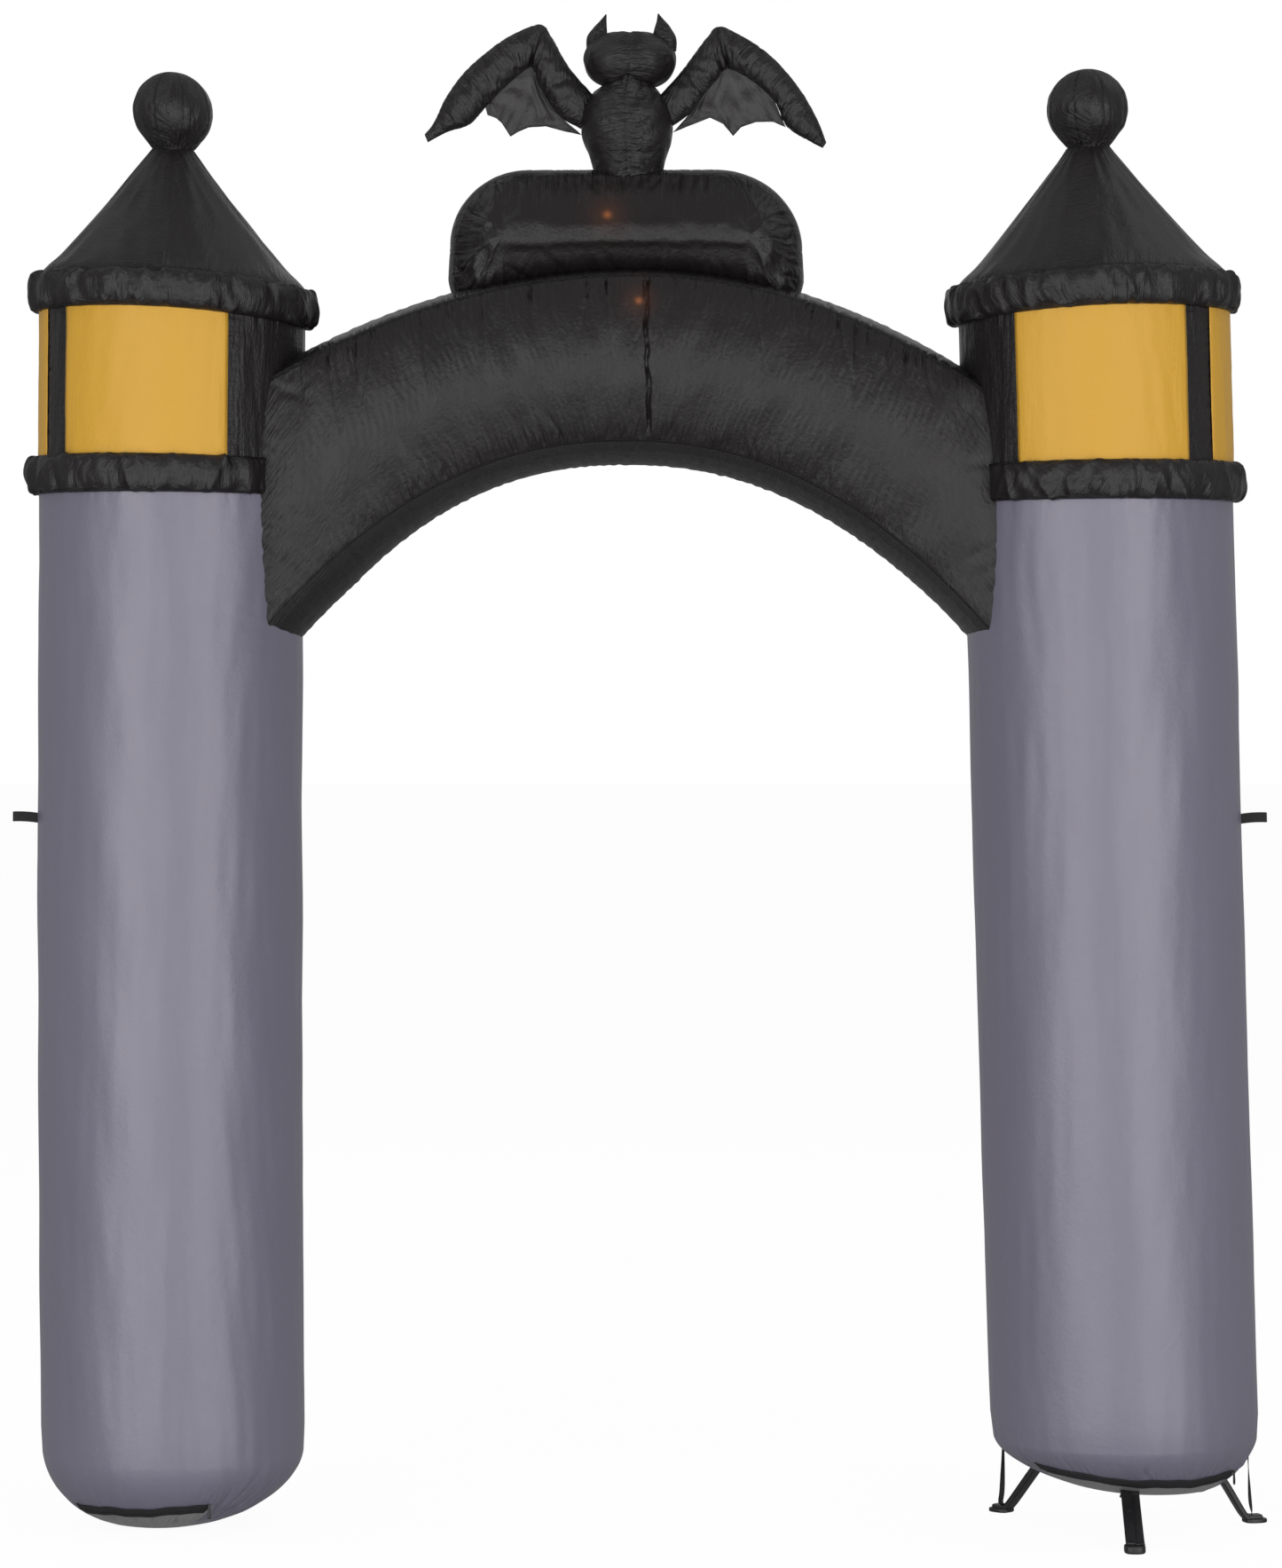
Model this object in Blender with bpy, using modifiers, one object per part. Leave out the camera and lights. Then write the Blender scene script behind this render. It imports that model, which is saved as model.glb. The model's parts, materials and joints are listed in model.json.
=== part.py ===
"""Inflatable castle archway: two filled cloth towers with gathered rings, windows and
pointed roofs, joined by a filled arch that carries a padded header and a bat.

X runs across, -Y is the side with the zips, Z is up and the floor is at 0. Metres.
"""

import math
import random
from typing import NamedTuple

import bmesh
import bpy
import numpy as np

# Clearances: flat seams, curved seams, and how far a cutter is grown past its piece. Then
# the distance that merges doubled points, the step for slopes and the angle of a sharp edge.
FLAT_GAP = 0.0003
CURVED_GAP = 0.0006
GROWTH = 0.0007
WELD = 0.00001
SLOPE_STEP = 0.001
SHARP_DEG = 50.0

# Towers.
TOWER_R = 0.267
TOWER_SIDES = 48
SHAFT_Z = (1.9, 1.4, 0.9, 0.4)
FOOT_RISES = (1.0, 0.78, 0.57, 0.38, 0.22, 0.09, 0.0)
DRUM_Z = 2.106
EAVE_Z = 2.466
TILT_FROM_Z = 1.95
TILT_TO_Z = 2.45
SADDLE = 0.013
BOW_TOP_Z = 2.40

# Gathered rings round each tower.
RING_BULGE = 0.025
RING_ROOT = 0.004
RING_END = 0.035
RING_END_SHARE = 0.35
RING_CUT_HEIGHT = 0.16
RING_SIDES = 64
RING_STEPS = 6
RING_ROUND = 0.8
RING_WALL_SHARE = 0.93
RING_GATHERS = 19
GATHER_DEPTH = 0.0045
GATHER_WANDER = 0.28
GATHER_RANGE = (0.5, 1.25)
UPPER_RING_Z = (2.428, 2.505)

# Roof and the ball on it.
NECK_Z = 2.7695
NECK_R = 0.0415
EAVE_R = 0.2665
ROOF_FLARE = 0.003
ROOF_SIDES = 32
ROOF_STEPS = 4
BALL_R = 0.0805
BALL_Z = 2.847
BALL_SIDES = 20
BALL_NECK_MARGIN = 0.002

# Windows: cloth panels let into the drum.
WINDOW_Z = (2.118, 2.448)
WINDOW_DEPTH = 0.003
WINDOW_STEP_DEG = 7.5

# Arch tube: two faces, a top strip and a soffit strip, sewn along four curved seams.
ARCH_Y = 0.020
ARCH_SKEW = -0.021
ARCH_HALF_DEPTH = 0.150
ARCH_X = (-0.80, 0.75)
ARCH_STATIONS = 30
SOFFIT_PEAK = (-0.030, 2.1795)
SOFFIT_DROP = 0.77
SOFFIT_POWER = 2.2
TOP_PEAK = (-0.015, 2.512)
TOP_DROP_LEFT = 0.395
TOP_DROP_RIGHT = 0.475
SPOKE_LEAN = 0.055
FACE_BULGE = 0.055
TOP_BULGE = 0.022
SOFFIT_BULGE = 0.042
SOFFIT_BULGE_LEFT = 0.060
SOFFIT_BULGE_RIGHT = 0.034
SOFFIT_BULGE_REACH = 0.65
FACE_BULGE_REACH = 0.72
BULGE_FADE_POWER = 4
FACE_STEPS = 6
STRIP_STEPS = 5
ARCH_WALL_Z = (2.43, 2.1, 1.9, 1.6)

# Header on the arch.
HEADER_X = -0.0300
HEADER_HALF_WIDTH = 0.354
HEADER_TOP_Z = 2.7165
HEADER_CORNER_LEFT = (0.144, 0.136)
HEADER_CORNER_RIGHT = (0.162, 0.145)
HEADER_SIDE_IN = (0.001, 0.006)
HEADER_CREST_X = (0.12, 0.05)
HEADER_SINK = 0.016
HEADER_HALF_DEPTH = 0.050
HEADER_BULGE = 0.080
HEADER_BULGE_POWER = 2.4
HEADER_SHARES = (0.18, 0.45, 0.70, 0.88, 1.0)
HEADER_SPINE_Z = 2.615
HEADER_SPINE_HALF = 0.24

# Webbing and stand.
WEBBING = 0.0016
TAB_LENGTH = 0.052
TAB_WIDTH = 0.020
TAB_GAP = 0.0064
TAB_Z = 1.428
TAB_RISE = 0.16
TAB_DROOP = 2.0
TAB_TURNS = 6
LEG_WIDTH = 0.026
LEG_THICK = 0.004
ZIP_WIDTH = 0.018
ZIP_THICK = 0.0024
ZIP_SLOPE_STEP = 0.004
PULL_SIZE = (0.008, 0.003, 0.030)
PULL_BEVEL = 0.0012
PULL_SEAT = 0.0004
PULL_FROM_END_DEG = 1.0

COLOURS = {
    "grey_cloth": ((0.185, 0.175, 0.225), 0.55),
    "black_cloth": ((0.016, 0.016, 0.018), 0.50),
    "yellow_cloth": ((0.68, 0.39, 0.055), 0.55),
    "black_webbing": ((0.012, 0.012, 0.013), 0.75),
    "zip_tape": ((0.010, 0.010, 0.011), 0.70),
    "black_plastic": ((0.013, 0.013, 0.014), 0.40),
}


class Tower(NamedTuple):
    """One tower: where it stands, how it leans, and how its foot is formed."""

    x: float
    y: float
    girth: float
    lean: float
    bow: float
    tilt: float
    foot_shift: float
    foot_z: float
    foot_r: float
    foot_round: float
    foot_power: float
    ring_z: tuple
    windows_deg: tuple
    zip_deg: tuple
    zip_z: tuple
    arch_side: int
    seam_x: float


TOWERS = {
    "left": Tower(
        x=-0.944, y=0.050, girth=0.995, lean=0.001, bow=-0.007, tilt=-0.060,
        foot_shift=-0.030, foot_z=0.0, foot_r=0.045, foot_round=0.150, foot_power=1.8,
        ring_z=(2.076, 2.149), windows_deg=((-47.5, 28.6), (-111.6, -63.6), (156.3, 232.4)),
        zip_deg=(-57.0, 26.0), zip_z=(0.051, 0.053, 0.0615), arch_side=1, seam_x=0.2034,
    ),
    "right": Tower(
        x=0.9775, y=-0.010, girth=1.008, lean=-0.0298, bow=-0.001, tilt=0.045,
        foot_shift=0.055, foot_z=0.082, foot_r=0.100, foot_round=0.105, foot_power=1.45,
        ring_z=(2.061, 2.136), windows_deg=((-39.3, 37.3), (52.8, 100.8), (116.3, 192.9)),
        zip_deg=(-54.0, 60.0), zip_z=(0.147, 0.119, 0.126), arch_side=-1, seam_x=0.2285,
    ),
}


class Section(NamedTuple):
    """An oval section of the bat: its height, its middle and its half sizes."""

    z: float
    x: float
    half_width: float
    half_depth: float


BAT_BODY = (
    Section(2.6849, -0.0255, 0.064, 0.052),
    Section(2.7195, -0.0255, 0.066, 0.056),
    Section(2.7540, -0.0255, 0.0745, 0.066),
    Section(2.7837, -0.0270, 0.0860, 0.075),
    Section(2.8133, -0.0280, 0.0900, 0.078),
    Section(2.8449, -0.0285, 0.0870, 0.075),
    Section(2.8725, -0.0300, 0.0730, 0.065),
    Section(2.8907, -0.0270, 0.0550, 0.050),
)
BAT_HEAD = (
    Section(2.8910, -0.0255, 0.0545, 0.050),
    Section(2.9050, -0.0250, 0.0705, 0.062),
    Section(2.9297, -0.0235, 0.0865, 0.073),
    Section(2.9573, -0.0215, 0.0915, 0.077),
    Section(2.9790, -0.0215, 0.0810, 0.069),
    Section(2.9937, -0.0215, 0.0600, 0.053),
    Section(3.0016, -0.0220, 0.0350, 0.031),
    Section(3.0046, -0.0220, 0.0080, 0.007),
)
BAT_EARS = {
    "left": (
        Section(2.9661, -0.0880, 0.0225, 0.0200),
        Section(2.9937, -0.0880, 0.0205, 0.0170),
        Section(3.0124, -0.0822, 0.0135, 0.0110),
        Section(3.0262, -0.0760, 0.0070, 0.0060),
        Section(3.0400, -0.0700, 0.0012, 0.0012),
    ),
    "right": (
        Section(2.9661, 0.0480, 0.0225, 0.0200),
        Section(2.9937, 0.0475, 0.0235, 0.0170),
        Section(3.0124, 0.0440, 0.0165, 0.0110),
        Section(3.0262, 0.0398, 0.0090, 0.0060),
        Section(3.0410, 0.0345, 0.0012, 0.0012),
    ),
}


class Rib(NamedTuple):
    """A cut across a wing's padded rim: its outer and its inner edge, in X and Z."""

    outer_x: float
    outer_z: float
    inner_x: float
    inner_z: float


WINGS = {
    "left": (
        Rib(-0.4345, 2.8005, -0.4280, 2.7847),
        Rib(-0.4165, 2.8232, -0.3880, 2.8054),
        Rib(-0.3915, 2.8745, -0.3440, 2.8202),
        Rib(-0.3555, 2.9238, -0.3120, 2.8538),
        Rib(-0.3125, 2.9627, -0.2820, 2.8863),
        Rib(-0.2640, 2.9967, -0.2470, 2.9169),
        Rib(-0.2030, 3.0203, -0.2200, 2.9336),
        Rib(-0.1790, 2.9947, -0.2070, 2.9021),
        Rib(-0.1530, 2.9484, -0.1860, 2.8695),
        Rib(-0.1260, 2.9119, -0.1600, 2.8330),
        Rib(-0.0600, 2.8429, -0.0750, 2.7886),
    ),
    "right": (
        Rib(0.3715, 2.7827, 0.3640, 2.7718),
        Rib(0.3553, 2.8251, 0.3375, 2.7857),
        Rib(0.3285, 2.8745, 0.2925, 2.8143),
        Rib(0.2960, 2.9188, 0.2690, 2.8626),
        Rib(0.2585, 2.9578, 0.2370, 2.8952),
        Rib(0.2140, 2.9893, 0.2030, 2.9188),
        Rib(0.1580, 3.0154, 0.1710, 2.9297),
        Rib(0.1315, 2.9927, 0.1530, 2.9100),
        Rib(0.1010, 2.9524, 0.1260, 2.8784),
        Rib(0.0707, 2.9139, 0.0960, 2.8390),
        Rib(0.0050, 2.8429, 0.0200, 2.7886),
    ),
}
WING_ROUND = 0.30
WING_DEPTH = 0.030
RIB_SIDES = 10
BAT_SIDES = 20
EAR_SIDES = 12

# The free edge of each thin web, from the wing's rim to the body.
WEB_EDGES = {
    "left": (
        (-0.3080, 2.8390), (-0.2900, 2.8325), (-0.2790, 2.8222), (-0.2620, 2.7960),
        (-0.2470, 2.8049), (-0.2265, 2.8138), (-0.1910, 2.8163), (-0.1500, 2.8054),
        (-0.1180, 2.7985),
    ),
    "right": (
        (0.2900, 2.8133), (0.2660, 2.8242), (0.2300, 2.8242), (0.2005, 2.8138),
        (0.1848, 2.7960), (0.1650, 2.8202), (0.1384, 2.8330), (0.0880, 2.8133),
        (0.0640, 2.8034),
    ),
}
WEB_THICK = 0.0016
WEB_TUCK = 0.006
WEB_RIM = slice(3, 10)
WEB_FAN_DROP = 0.02


class Foot(NamedTuple):
    """One leg of the stand: its block, where its leg bends, and where its strap starts."""

    bearing_deg: float
    bend_r: float
    reach: float
    block_height: float
    leg_under: float
    leg_aside: float
    strap_aside: float
    strap_top_deg: float
    strap_top_z: float


# Bearings here are counted from +X towards +Y.
FEET = {
    "near": Foot(-92.0, 0.155, 0.312, 0.018, 0.0038, 0.0055, -0.0125, -92.0, 0.099),
    "right": Foot(16.0, 0.200, 0.274, 0.010, 0.0033, 0.0, 0.0, 10.0, 0.165),
    "rear": Foot(138.0, 0.200, 0.318, 0.010, 0.0038, 0.0, 0.0, 158.0, 0.170),
}
STRAP_WIDTH = 0.009
STRAP_SEAM = (0.0005, 0.012)
STRAP_FALL = ((0.5, 0.62), (0.85, 0.92))
STRAP_LAP = (-0.004, 0.012)
LEG_FROM_R = 0.10
LEG_BENDS = 6
LEG_END = ((-0.024, 0.006), (-0.010, 0.0), (0.012, 0.0))
BLOCK_HALF_LENGTH = 0.024
BLOCK_HALF_WIDTH = 0.021
BLOCK_BEVEL = 0.0035


def clear_scene():
    for obj in list(bpy.data.objects):
        bpy.data.objects.remove(obj)


def new_collection(name):
    collection = bpy.data.collections.new(name)
    bpy.context.scene.collection.children.link(collection)
    return collection


def make_materials():
    made = {}
    for name, (colour, roughness) in COLOURS.items():
        material = bpy.data.materials.new(name)
        material.use_nodes = True
        shader = material.node_tree.nodes["Principled BSDF"]
        shader.inputs["Base Color"].default_value = (*colour, 1.0)
        shader.inputs["Roughness"].default_value = roughness
        made[name] = material
    return made


def add(name, mesh, material=None):
    """A mesh object in the archway's collection, or a hidden cutter without a material."""
    obj = bpy.data.objects.new(name, mesh)
    if material is None:
        CUTTERS.objects.link(obj)
        obj.hide_render = True
        obj.display_type = "WIRE"
    else:
        PIECES.objects.link(obj)
        mesh.materials.append(MATERIALS[material])
        mesh.shade_smooth()
        mesh.set_sharp_from_angle(angle=math.radians(SHARP_DEG))
    return obj


def points_of(mesh):
    flat = np.empty(len(mesh.vertices) * 3)
    mesh.vertices.foreach_get("co", flat)
    return flat.reshape(-1, 3)


def move_points(mesh, points):
    mesh.vertices.foreach_set("co", np.asarray(points, np.float32).ravel())
    mesh.update()
    return mesh


def evaluated_mesh(obj):
    """The object's mesh with its modifiers applied, welded; the object is removed."""
    bpy.context.view_layer.update()
    graph = bpy.context.evaluated_depsgraph_get()
    mesh = bpy.data.meshes.new_from_object(obj.evaluated_get(graph))
    mesh.transform(obj.matrix_world)
    bpy.data.objects.remove(obj)
    return cleaned(mesh)


def cleaned(mesh):
    """The mesh with doubled points merged and its faces turned outwards."""
    shape = bmesh.new()
    shape.from_mesh(mesh)
    bmesh.ops.remove_doubles(shape, verts=shape.verts, dist=WELD)
    bmesh.ops.recalc_face_normals(shape, faces=shape.faces)
    shape.to_mesh(mesh)
    shape.free()
    return mesh


def turned_mesh(profile, sides):
    """A profile of (radius, height) points, top to bottom, turned about Z by a Screw."""
    mesh = bpy.data.meshes.new("profile")
    edges = [(i, i + 1) for i in range(len(profile) - 1)]
    mesh.from_pydata([(radius, 0.0, z) for radius, z in profile], edges, [])
    obj = add("profile", mesh)
    screw = obj.modifiers.new("turn", "SCREW")
    screw.steps = sides
    screw.render_steps = sides
    screw.use_merge_vertices = True
    screw.merge_threshold = WELD
    return evaluated_mesh(obj)


def sheet_mesh(place, across, along, thickness):
    """A grid bent by place(u, v), u and v from 0 to 1, given its thickness by Solidify."""
    shape = bmesh.new()
    bmesh.ops.create_grid(shape, x_segments=across, y_segments=along, size=1.0)
    for vert in shape.verts:
        vert.co = place((vert.co.x + 1) / 2, (vert.co.y + 1) / 2)
    mesh = bpy.data.meshes.new("sheet")
    shape.to_mesh(mesh)
    shape.free()
    obj = add("sheet", mesh)
    solidify = obj.modifiers.new("thickness", "SOLIDIFY")
    solidify.thickness = thickness
    solidify.offset = 0.0
    return evaluated_mesh(obj)


def lofted_mesh(sections):
    """A closed skin through unlike sections, each a ring of as many points, with flat ends."""
    points = [tuple(point) for section in sections for point in section]
    around = len(sections[0])
    faces = []
    for ring in range(len(sections) - 1):
        for i in range(around):
            j = (i + 1) % around
            first, second = ring * around, (ring + 1) * around
            faces.append((first + i, first + j, second + j, second + i))
    faces.append(tuple(range(around)))
    faces.append(tuple(range(len(points) - around, len(points))))
    mesh = bpy.data.meshes.new("loft")
    mesh.from_pydata(points, [], faces)
    return cleaned(mesh)


def outline_mesh(outline, half_thickness):
    """A flat outline in X and Y, filled and extruded to both sides."""
    curve = bpy.data.curves.new("outline", "CURVE")
    curve.dimensions = "2D"
    curve.fill_mode = "BOTH"
    curve.extrude = half_thickness
    spline = curve.splines.new("POLY")
    spline.points.add(len(outline) - 1)
    for point, (x, y) in zip(spline.points, outline):
        point.co = (x, y, 0.0, 1.0)
    spline.use_cyclic_u = True
    obj = bpy.data.objects.new("outline", curve)
    CUTTERS.objects.link(obj)
    return evaluated_mesh(obj)


def grown(name, mesh, by=GROWTH):
    """A hidden cutter: the mesh pushed out along its normals."""
    copy = mesh.copy()
    normals = np.empty(len(copy.vertices) * 3)
    copy.vertices.foreach_get("normal", normals)
    move_points(copy, points_of(copy) + normals.reshape(-1, 3) * by)
    return add(name, copy)


def cut(obj, cutter):
    modifier = obj.modifiers.new("cut " + cutter.name, "BOOLEAN")
    modifier.operation = "DIFFERENCE"
    modifier.object = cutter


def smooth_step(value):
    value = np.clip(value, 0.0, 1.0)
    return value * value * (3 - 2 * value)


def foot_offset(tower, z):
    """How far aside the tower's foot is drawn at a height."""
    low = np.clip((z - tower.foot_z) / tower.foot_round, 0.0, 1.0)
    return tower.foot_shift * (1 - low) ** 2


def settle(tower, mesh):
    """Moves a mesh made round the Z axis to where the tower stands, leans, tilts and sags."""
    points = points_of(mesh)
    x, y, z = points.T
    bow = tower.bow * np.sin(math.pi * np.clip(z / BOW_TOP_Z, 0.0, 1.0))
    middle = tower.x + tower.lean * z + bow + foot_offset(tower, z)
    upper = smooth_step((z - TILT_FROM_Z) / (TILT_TO_Z - TILT_FROM_Z))
    lift = upper * (tower.tilt * x + SADDLE * (y / TOWER_R) ** 2)
    moved = (x * tower.girth + middle, y * tower.girth + tower.y, z + lift)
    return move_points(mesh, np.stack(moved, axis=1))


def foot_radius(tower, z):
    """The tower's radius at a height, drawn in to a flat foot by a superellipse."""
    rise = min(max((z - tower.foot_z) / tower.foot_round, 0.0), 1.0)
    round_part = (1 - (1 - rise) ** tower.foot_power) ** (1 / tower.foot_power)
    return tower.foot_r + (TOWER_R - tower.foot_r) * round_part


def on_wall(radius, bearing_deg, z):
    """A point on a tower, its bearing counted from -Y towards +X."""
    angle = math.radians(bearing_deg)
    return (radius * math.sin(angle), -radius * math.cos(angle), z)


def make_shaft(side, tower):
    heights = [DRUM_Z - FLAT_GAP / 2, *SHAFT_Z]
    heights += [tower.foot_z + tower.foot_round * rise for rise in FOOT_RISES]
    profile = [(0.0, heights[0])]
    profile += [(foot_radius(tower, z), z) for z in heights]
    profile.append((0.0, heights[-1]))
    mesh = settle(tower, turned_mesh(profile, TOWER_SIDES))
    add(f"{side}_tower", mesh, "grey_cloth")


def make_drum(side, tower):
    low, high = DRUM_Z + FLAT_GAP / 2, EAVE_Z - FLAT_GAP / 2
    profile = [(0.0, high), (TOWER_R, high), (TOWER_R, (low + high) / 2), (TOWER_R, low), (0.0, low)]
    drum = add(f"{side}_drum", settle(tower, turned_mesh(profile, TOWER_SIDES)), "black_cloth")
    names = ("back", "side", "front")
    for name, (start, end) in zip(names, tower.windows_deg):
        pane = window_mesh(start, end, 0.0, WINDOW_DEPTH - CURVED_GAP)
        add(f"{side}_window_{name}", settle(tower, pane), "yellow_cloth")
        pocket = window_mesh(start, end, FLAT_GAP, WINDOW_DEPTH * 2)
        cut(drum, add(f"{side} {name} pocket", settle(tower, pocket)))


def window_mesh(start_deg, end_deg, margin, thickness):
    """A curved panel whose inner face lies just above the floor of its pocket."""
    steps = round((end_deg - start_deg) / WINDOW_STEP_DEG)
    inner = TOWER_R - WINDOW_DEPTH + (CURVED_GAP if margin == 0.0 else 0.0)
    middle = inner + thickness / 2
    edge_deg = math.degrees(margin / TOWER_R)
    low, high = WINDOW_Z[0] - margin, WINDOW_Z[1] + margin

    def place(u, v):
        bearing = start_deg - edge_deg + u * (end_deg - start_deg + 2 * edge_deg)
        return on_wall(middle, bearing, low + v * (high - low))

    return sheet_mesh(place, steps, 1, thickness)


def ring_profile(low, high):
    """The half-round section of a ring, its inner wall flat against the tower."""
    inner = TOWER_R + CURVED_GAP
    middle, half = (low + high) / 2, (high - low) / 2
    profile = []
    for i in range(RING_STEPS):
        angle = math.pi * (i / (RING_STEPS - 1) - 0.5)
        profile.append((inner + RING_ROOT + (RING_BULGE - RING_ROOT) * math.cos(angle) ** RING_ROUND,
                        middle - half * math.sin(angle)))
    wall_half = half * RING_WALL_SHARE
    return [(inner, middle + wall_half), *profile, (inner, middle - wall_half)]


def gathered_ring(low, high, seed):
    """A ring of cloth drawn up into uneven gathers, which fade out at its inner wall."""
    profile = ring_profile(low, high)
    mesh = turned_mesh([*profile, profile[0]], RING_SIDES)
    chance = random.Random(seed)
    pitch = math.tau / RING_GATHERS
    places = [(i + chance.uniform(-GATHER_WANDER, GATHER_WANDER)) * pitch for i in range(RING_GATHERS)]
    depths = [GATHER_DEPTH * chance.uniform(*GATHER_RANGE) for _ in places]
    points = points_of(mesh)
    radius = np.hypot(points[:, 0], points[:, 1])
    angle = np.arctan2(points[:, 1], points[:, 0])
    fold = np.zeros(len(points))
    for place, depth in zip(places, depths):
        away = np.abs((angle - place + math.pi) % math.tau - math.pi) * 2 / pitch
        fold += depth * np.clip(1 - away, 0.0, 1.0)
    free = np.clip((radius - TOWER_R - RING_ROOT) / (RING_BULGE - RING_ROOT), 0.0, 1.0)
    points[:, :2] *= (1 - fold * free / radius)[:, None]
    return move_points(mesh, points)


def make_upper_ring(side, tower):
    mesh = settle(tower, gathered_ring(*UPPER_RING_Z, seed=f"{side} upper"))
    add(f"{side}_upper_ring", mesh, "black_cloth")


def make_lower_ring(side, tower, arch_cutter):
    """The lower ring stops where the arch is sewn on, its two ends drawn in to the wall."""
    mesh = gathered_ring(*tower.ring_z, seed=f"{side} lower")
    points = points_of(mesh)
    radius = np.hypot(points[:, 0], points[:, 1])
    away = (tower.seam_x - points[:, 0] * tower.arch_side) / RING_END
    drawn = 1 - (1 - RING_END_SHARE) * (1 - np.sqrt(np.clip(away, 0.0, 1.0)))
    inner = TOWER_R + CURVED_GAP
    points[:, :2] *= ((inner + (radius - inner) * drawn) / radius)[:, None]
    ring = add(f"{side}_lower_ring", settle(tower, move_points(mesh, points)), "black_cloth")
    width = TOWER_R
    box = cube_mesh((width, 4 * TOWER_R, RING_CUT_HEIGHT), 0.0)
    middle = tower.arch_side * (tower.seam_x - CURVED_GAP + width / 2)
    move_points(box, points_of(box) + (middle, 0.0, sum(tower.ring_z) / 2))
    cut(ring, add(f"{side} arch seam", settle(tower, box)))
    cut(ring, arch_cutter)


def make_roof(side, tower):
    low, high = EAVE_Z + FLAT_GAP / 2, NECK_Z - FLAT_GAP / 2
    slope_from = UPPER_RING_Z[1]
    profile = [(0.0, high)]
    for i in range(ROOF_STEPS + 1):
        share = i / ROOF_STEPS
        radius = NECK_R + (EAVE_R - NECK_R) * share - ROOF_FLARE * math.sin(math.pi * share)
        profile.append((radius, high + (slope_from - high) * share))
    profile += [(EAVE_R, low), (0.0, low)]
    add(f"{side}_roof", settle(tower, turned_mesh(profile, ROOF_SIDES)), "black_cloth")


def make_ball(side, tower):
    """A ball whose lower cloth runs straight in to the neck of the roof."""
    low = NECK_Z + FLAT_GAP / 2
    profile = []
    for degrees in range(0, 121, 15):
        angle = math.radians(degrees)
        profile.append((BALL_R * math.sin(angle), BALL_Z + BALL_R * math.cos(angle)))
    profile += [(NECK_R + BALL_NECK_MARGIN, low), (0.0, low)]
    add(f"{side}_ball", settle(tower, turned_mesh(profile, BALL_SIDES)), "black_cloth")


def make_zip(side, tower):
    """A zip that follows the foot's curve, lowest in its middle, and its hanging pull."""
    start, end = tower.zip_deg
    steps = round((end - start) / WINDOW_STEP_DEG)
    lift = CURVED_GAP + ZIP_THICK / 2

    def place(u, v):
        first, middle, last = tower.zip_z
        z = first * (1 - u) * (1 - 2 * u) + middle * 4 * u * (1 - u) + last * u * (2 * u - 1)
        z += (v - 0.5) * ZIP_WIDTH
        rise = foot_radius(tower, z + ZIP_SLOPE_STEP) - foot_radius(tower, z - ZIP_SLOPE_STEP)
        slope = rise / (2 * ZIP_SLOPE_STEP)
        out = lift / math.hypot(1.0, slope)
        radius = foot_radius(tower, z) + out
        return on_wall(radius, start + u * (end - start), z - out * slope)

    mesh = settle(tower, sheet_mesh(place, steps, 2, ZIP_THICK))
    add(f"{side}_zip", mesh, "zip_tape")
    top = tower.zip_z[2] + ZIP_WIDTH / 2
    radius = foot_radius(tower, top) + lift + ZIP_THICK / 2 + PULL_SIZE[1] / 2 - PULL_SEAT
    bearing = end - PULL_FROM_END_DEG
    angle = math.radians(bearing)
    pull = cube_mesh(PULL_SIZE, PULL_BEVEL)
    turn = np.array([[math.cos(angle), -math.sin(angle)], [math.sin(angle), math.cos(angle)]])
    points = points_of(pull)
    points[:, :2] = points[:, :2] @ turn.T
    points += on_wall(radius, bearing, top - PULL_SIZE[2] / 2)
    hung = tower._replace(x=tower.x + foot_offset(tower, top), foot_shift=0.0)
    add(f"{side}_zip_pull", settle(hung, move_points(pull, points)), "black_plastic")


def cube_mesh(size, bevel):
    """A box of a size about the origin, its edges rounded where a bevel is given."""
    shape = bmesh.new()
    bmesh.ops.create_cube(shape, size=1.0)
    bmesh.ops.scale(shape, vec=size, verts=shape.verts)
    if bevel > 0.0:
        bmesh.ops.bevel(shape, geom=shape.edges[:], offset=bevel, segments=2, profile=0.5,
                        affect="EDGES")
    mesh = bpy.data.meshes.new("box")
    shape.to_mesh(mesh)
    shape.free()
    return mesh


def make_tether_tab(side, tower):
    """Webbing folded into a flat loop that a guy rope is tied through."""
    outer, inner = TAB_GAP / 2 + WEBBING, TAB_GAP / 2
    angles = [math.pi * (0.5 - i / TAB_TURNS) for i in range(TAB_TURNS + 1)]
    tip = TAB_LENGTH - outer
    outline = [(0.0, outer)]
    outline += [(tip + outer * math.cos(a), outer * math.sin(a)) for a in angles]
    outline += [(0.0, -outer), (0.0, -inner)]
    outline += [(tip + inner * math.cos(a), inner * math.sin(a)) for a in reversed(angles)]
    outline.append((0.0, inner))
    mesh = outline_mesh(outline, TAB_WIDTH / 2)
    points = points_of(mesh)
    points[:, 2] += TAB_RISE * points[:, 0] - TAB_DROOP * points[:, 0] ** 2
    points[:, 0] = (points[:, 0] + TOWER_R + FLAT_GAP) * -tower.arch_side
    points[:, 2] += TAB_Z
    add(f"{side}_tether_tab", settle(tower, cleaned(move_points(mesh, points))), "black_webbing")


def arch_y(x):
    """The depth of the arch's mid-plane, which runs from one tower's middle to the other's."""
    return ARCH_Y + ARCH_SKEW * x


def soffit_z(x):
    return SOFFIT_PEAK[1] - SOFFIT_DROP * abs(x - SOFFIT_PEAK[0]) ** SOFFIT_POWER


def top_z(x):
    away = x - TOP_PEAK[0]
    return TOP_PEAK[1] - (TOP_DROP_LEFT if away < 0 else TOP_DROP_RIGHT) * away * away


def seam_point(height_of, x):
    """A point of a seam in X and Z, and the seam's unit normal, which points up."""
    slope = (height_of(x + SLOPE_STEP) - height_of(x - SLOPE_STEP)) / (2 * SLOPE_STEP)
    normal = np.array([-slope, 1.0]) / math.hypot(slope, 1.0)
    return np.array([x, height_of(x)]), normal


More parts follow.
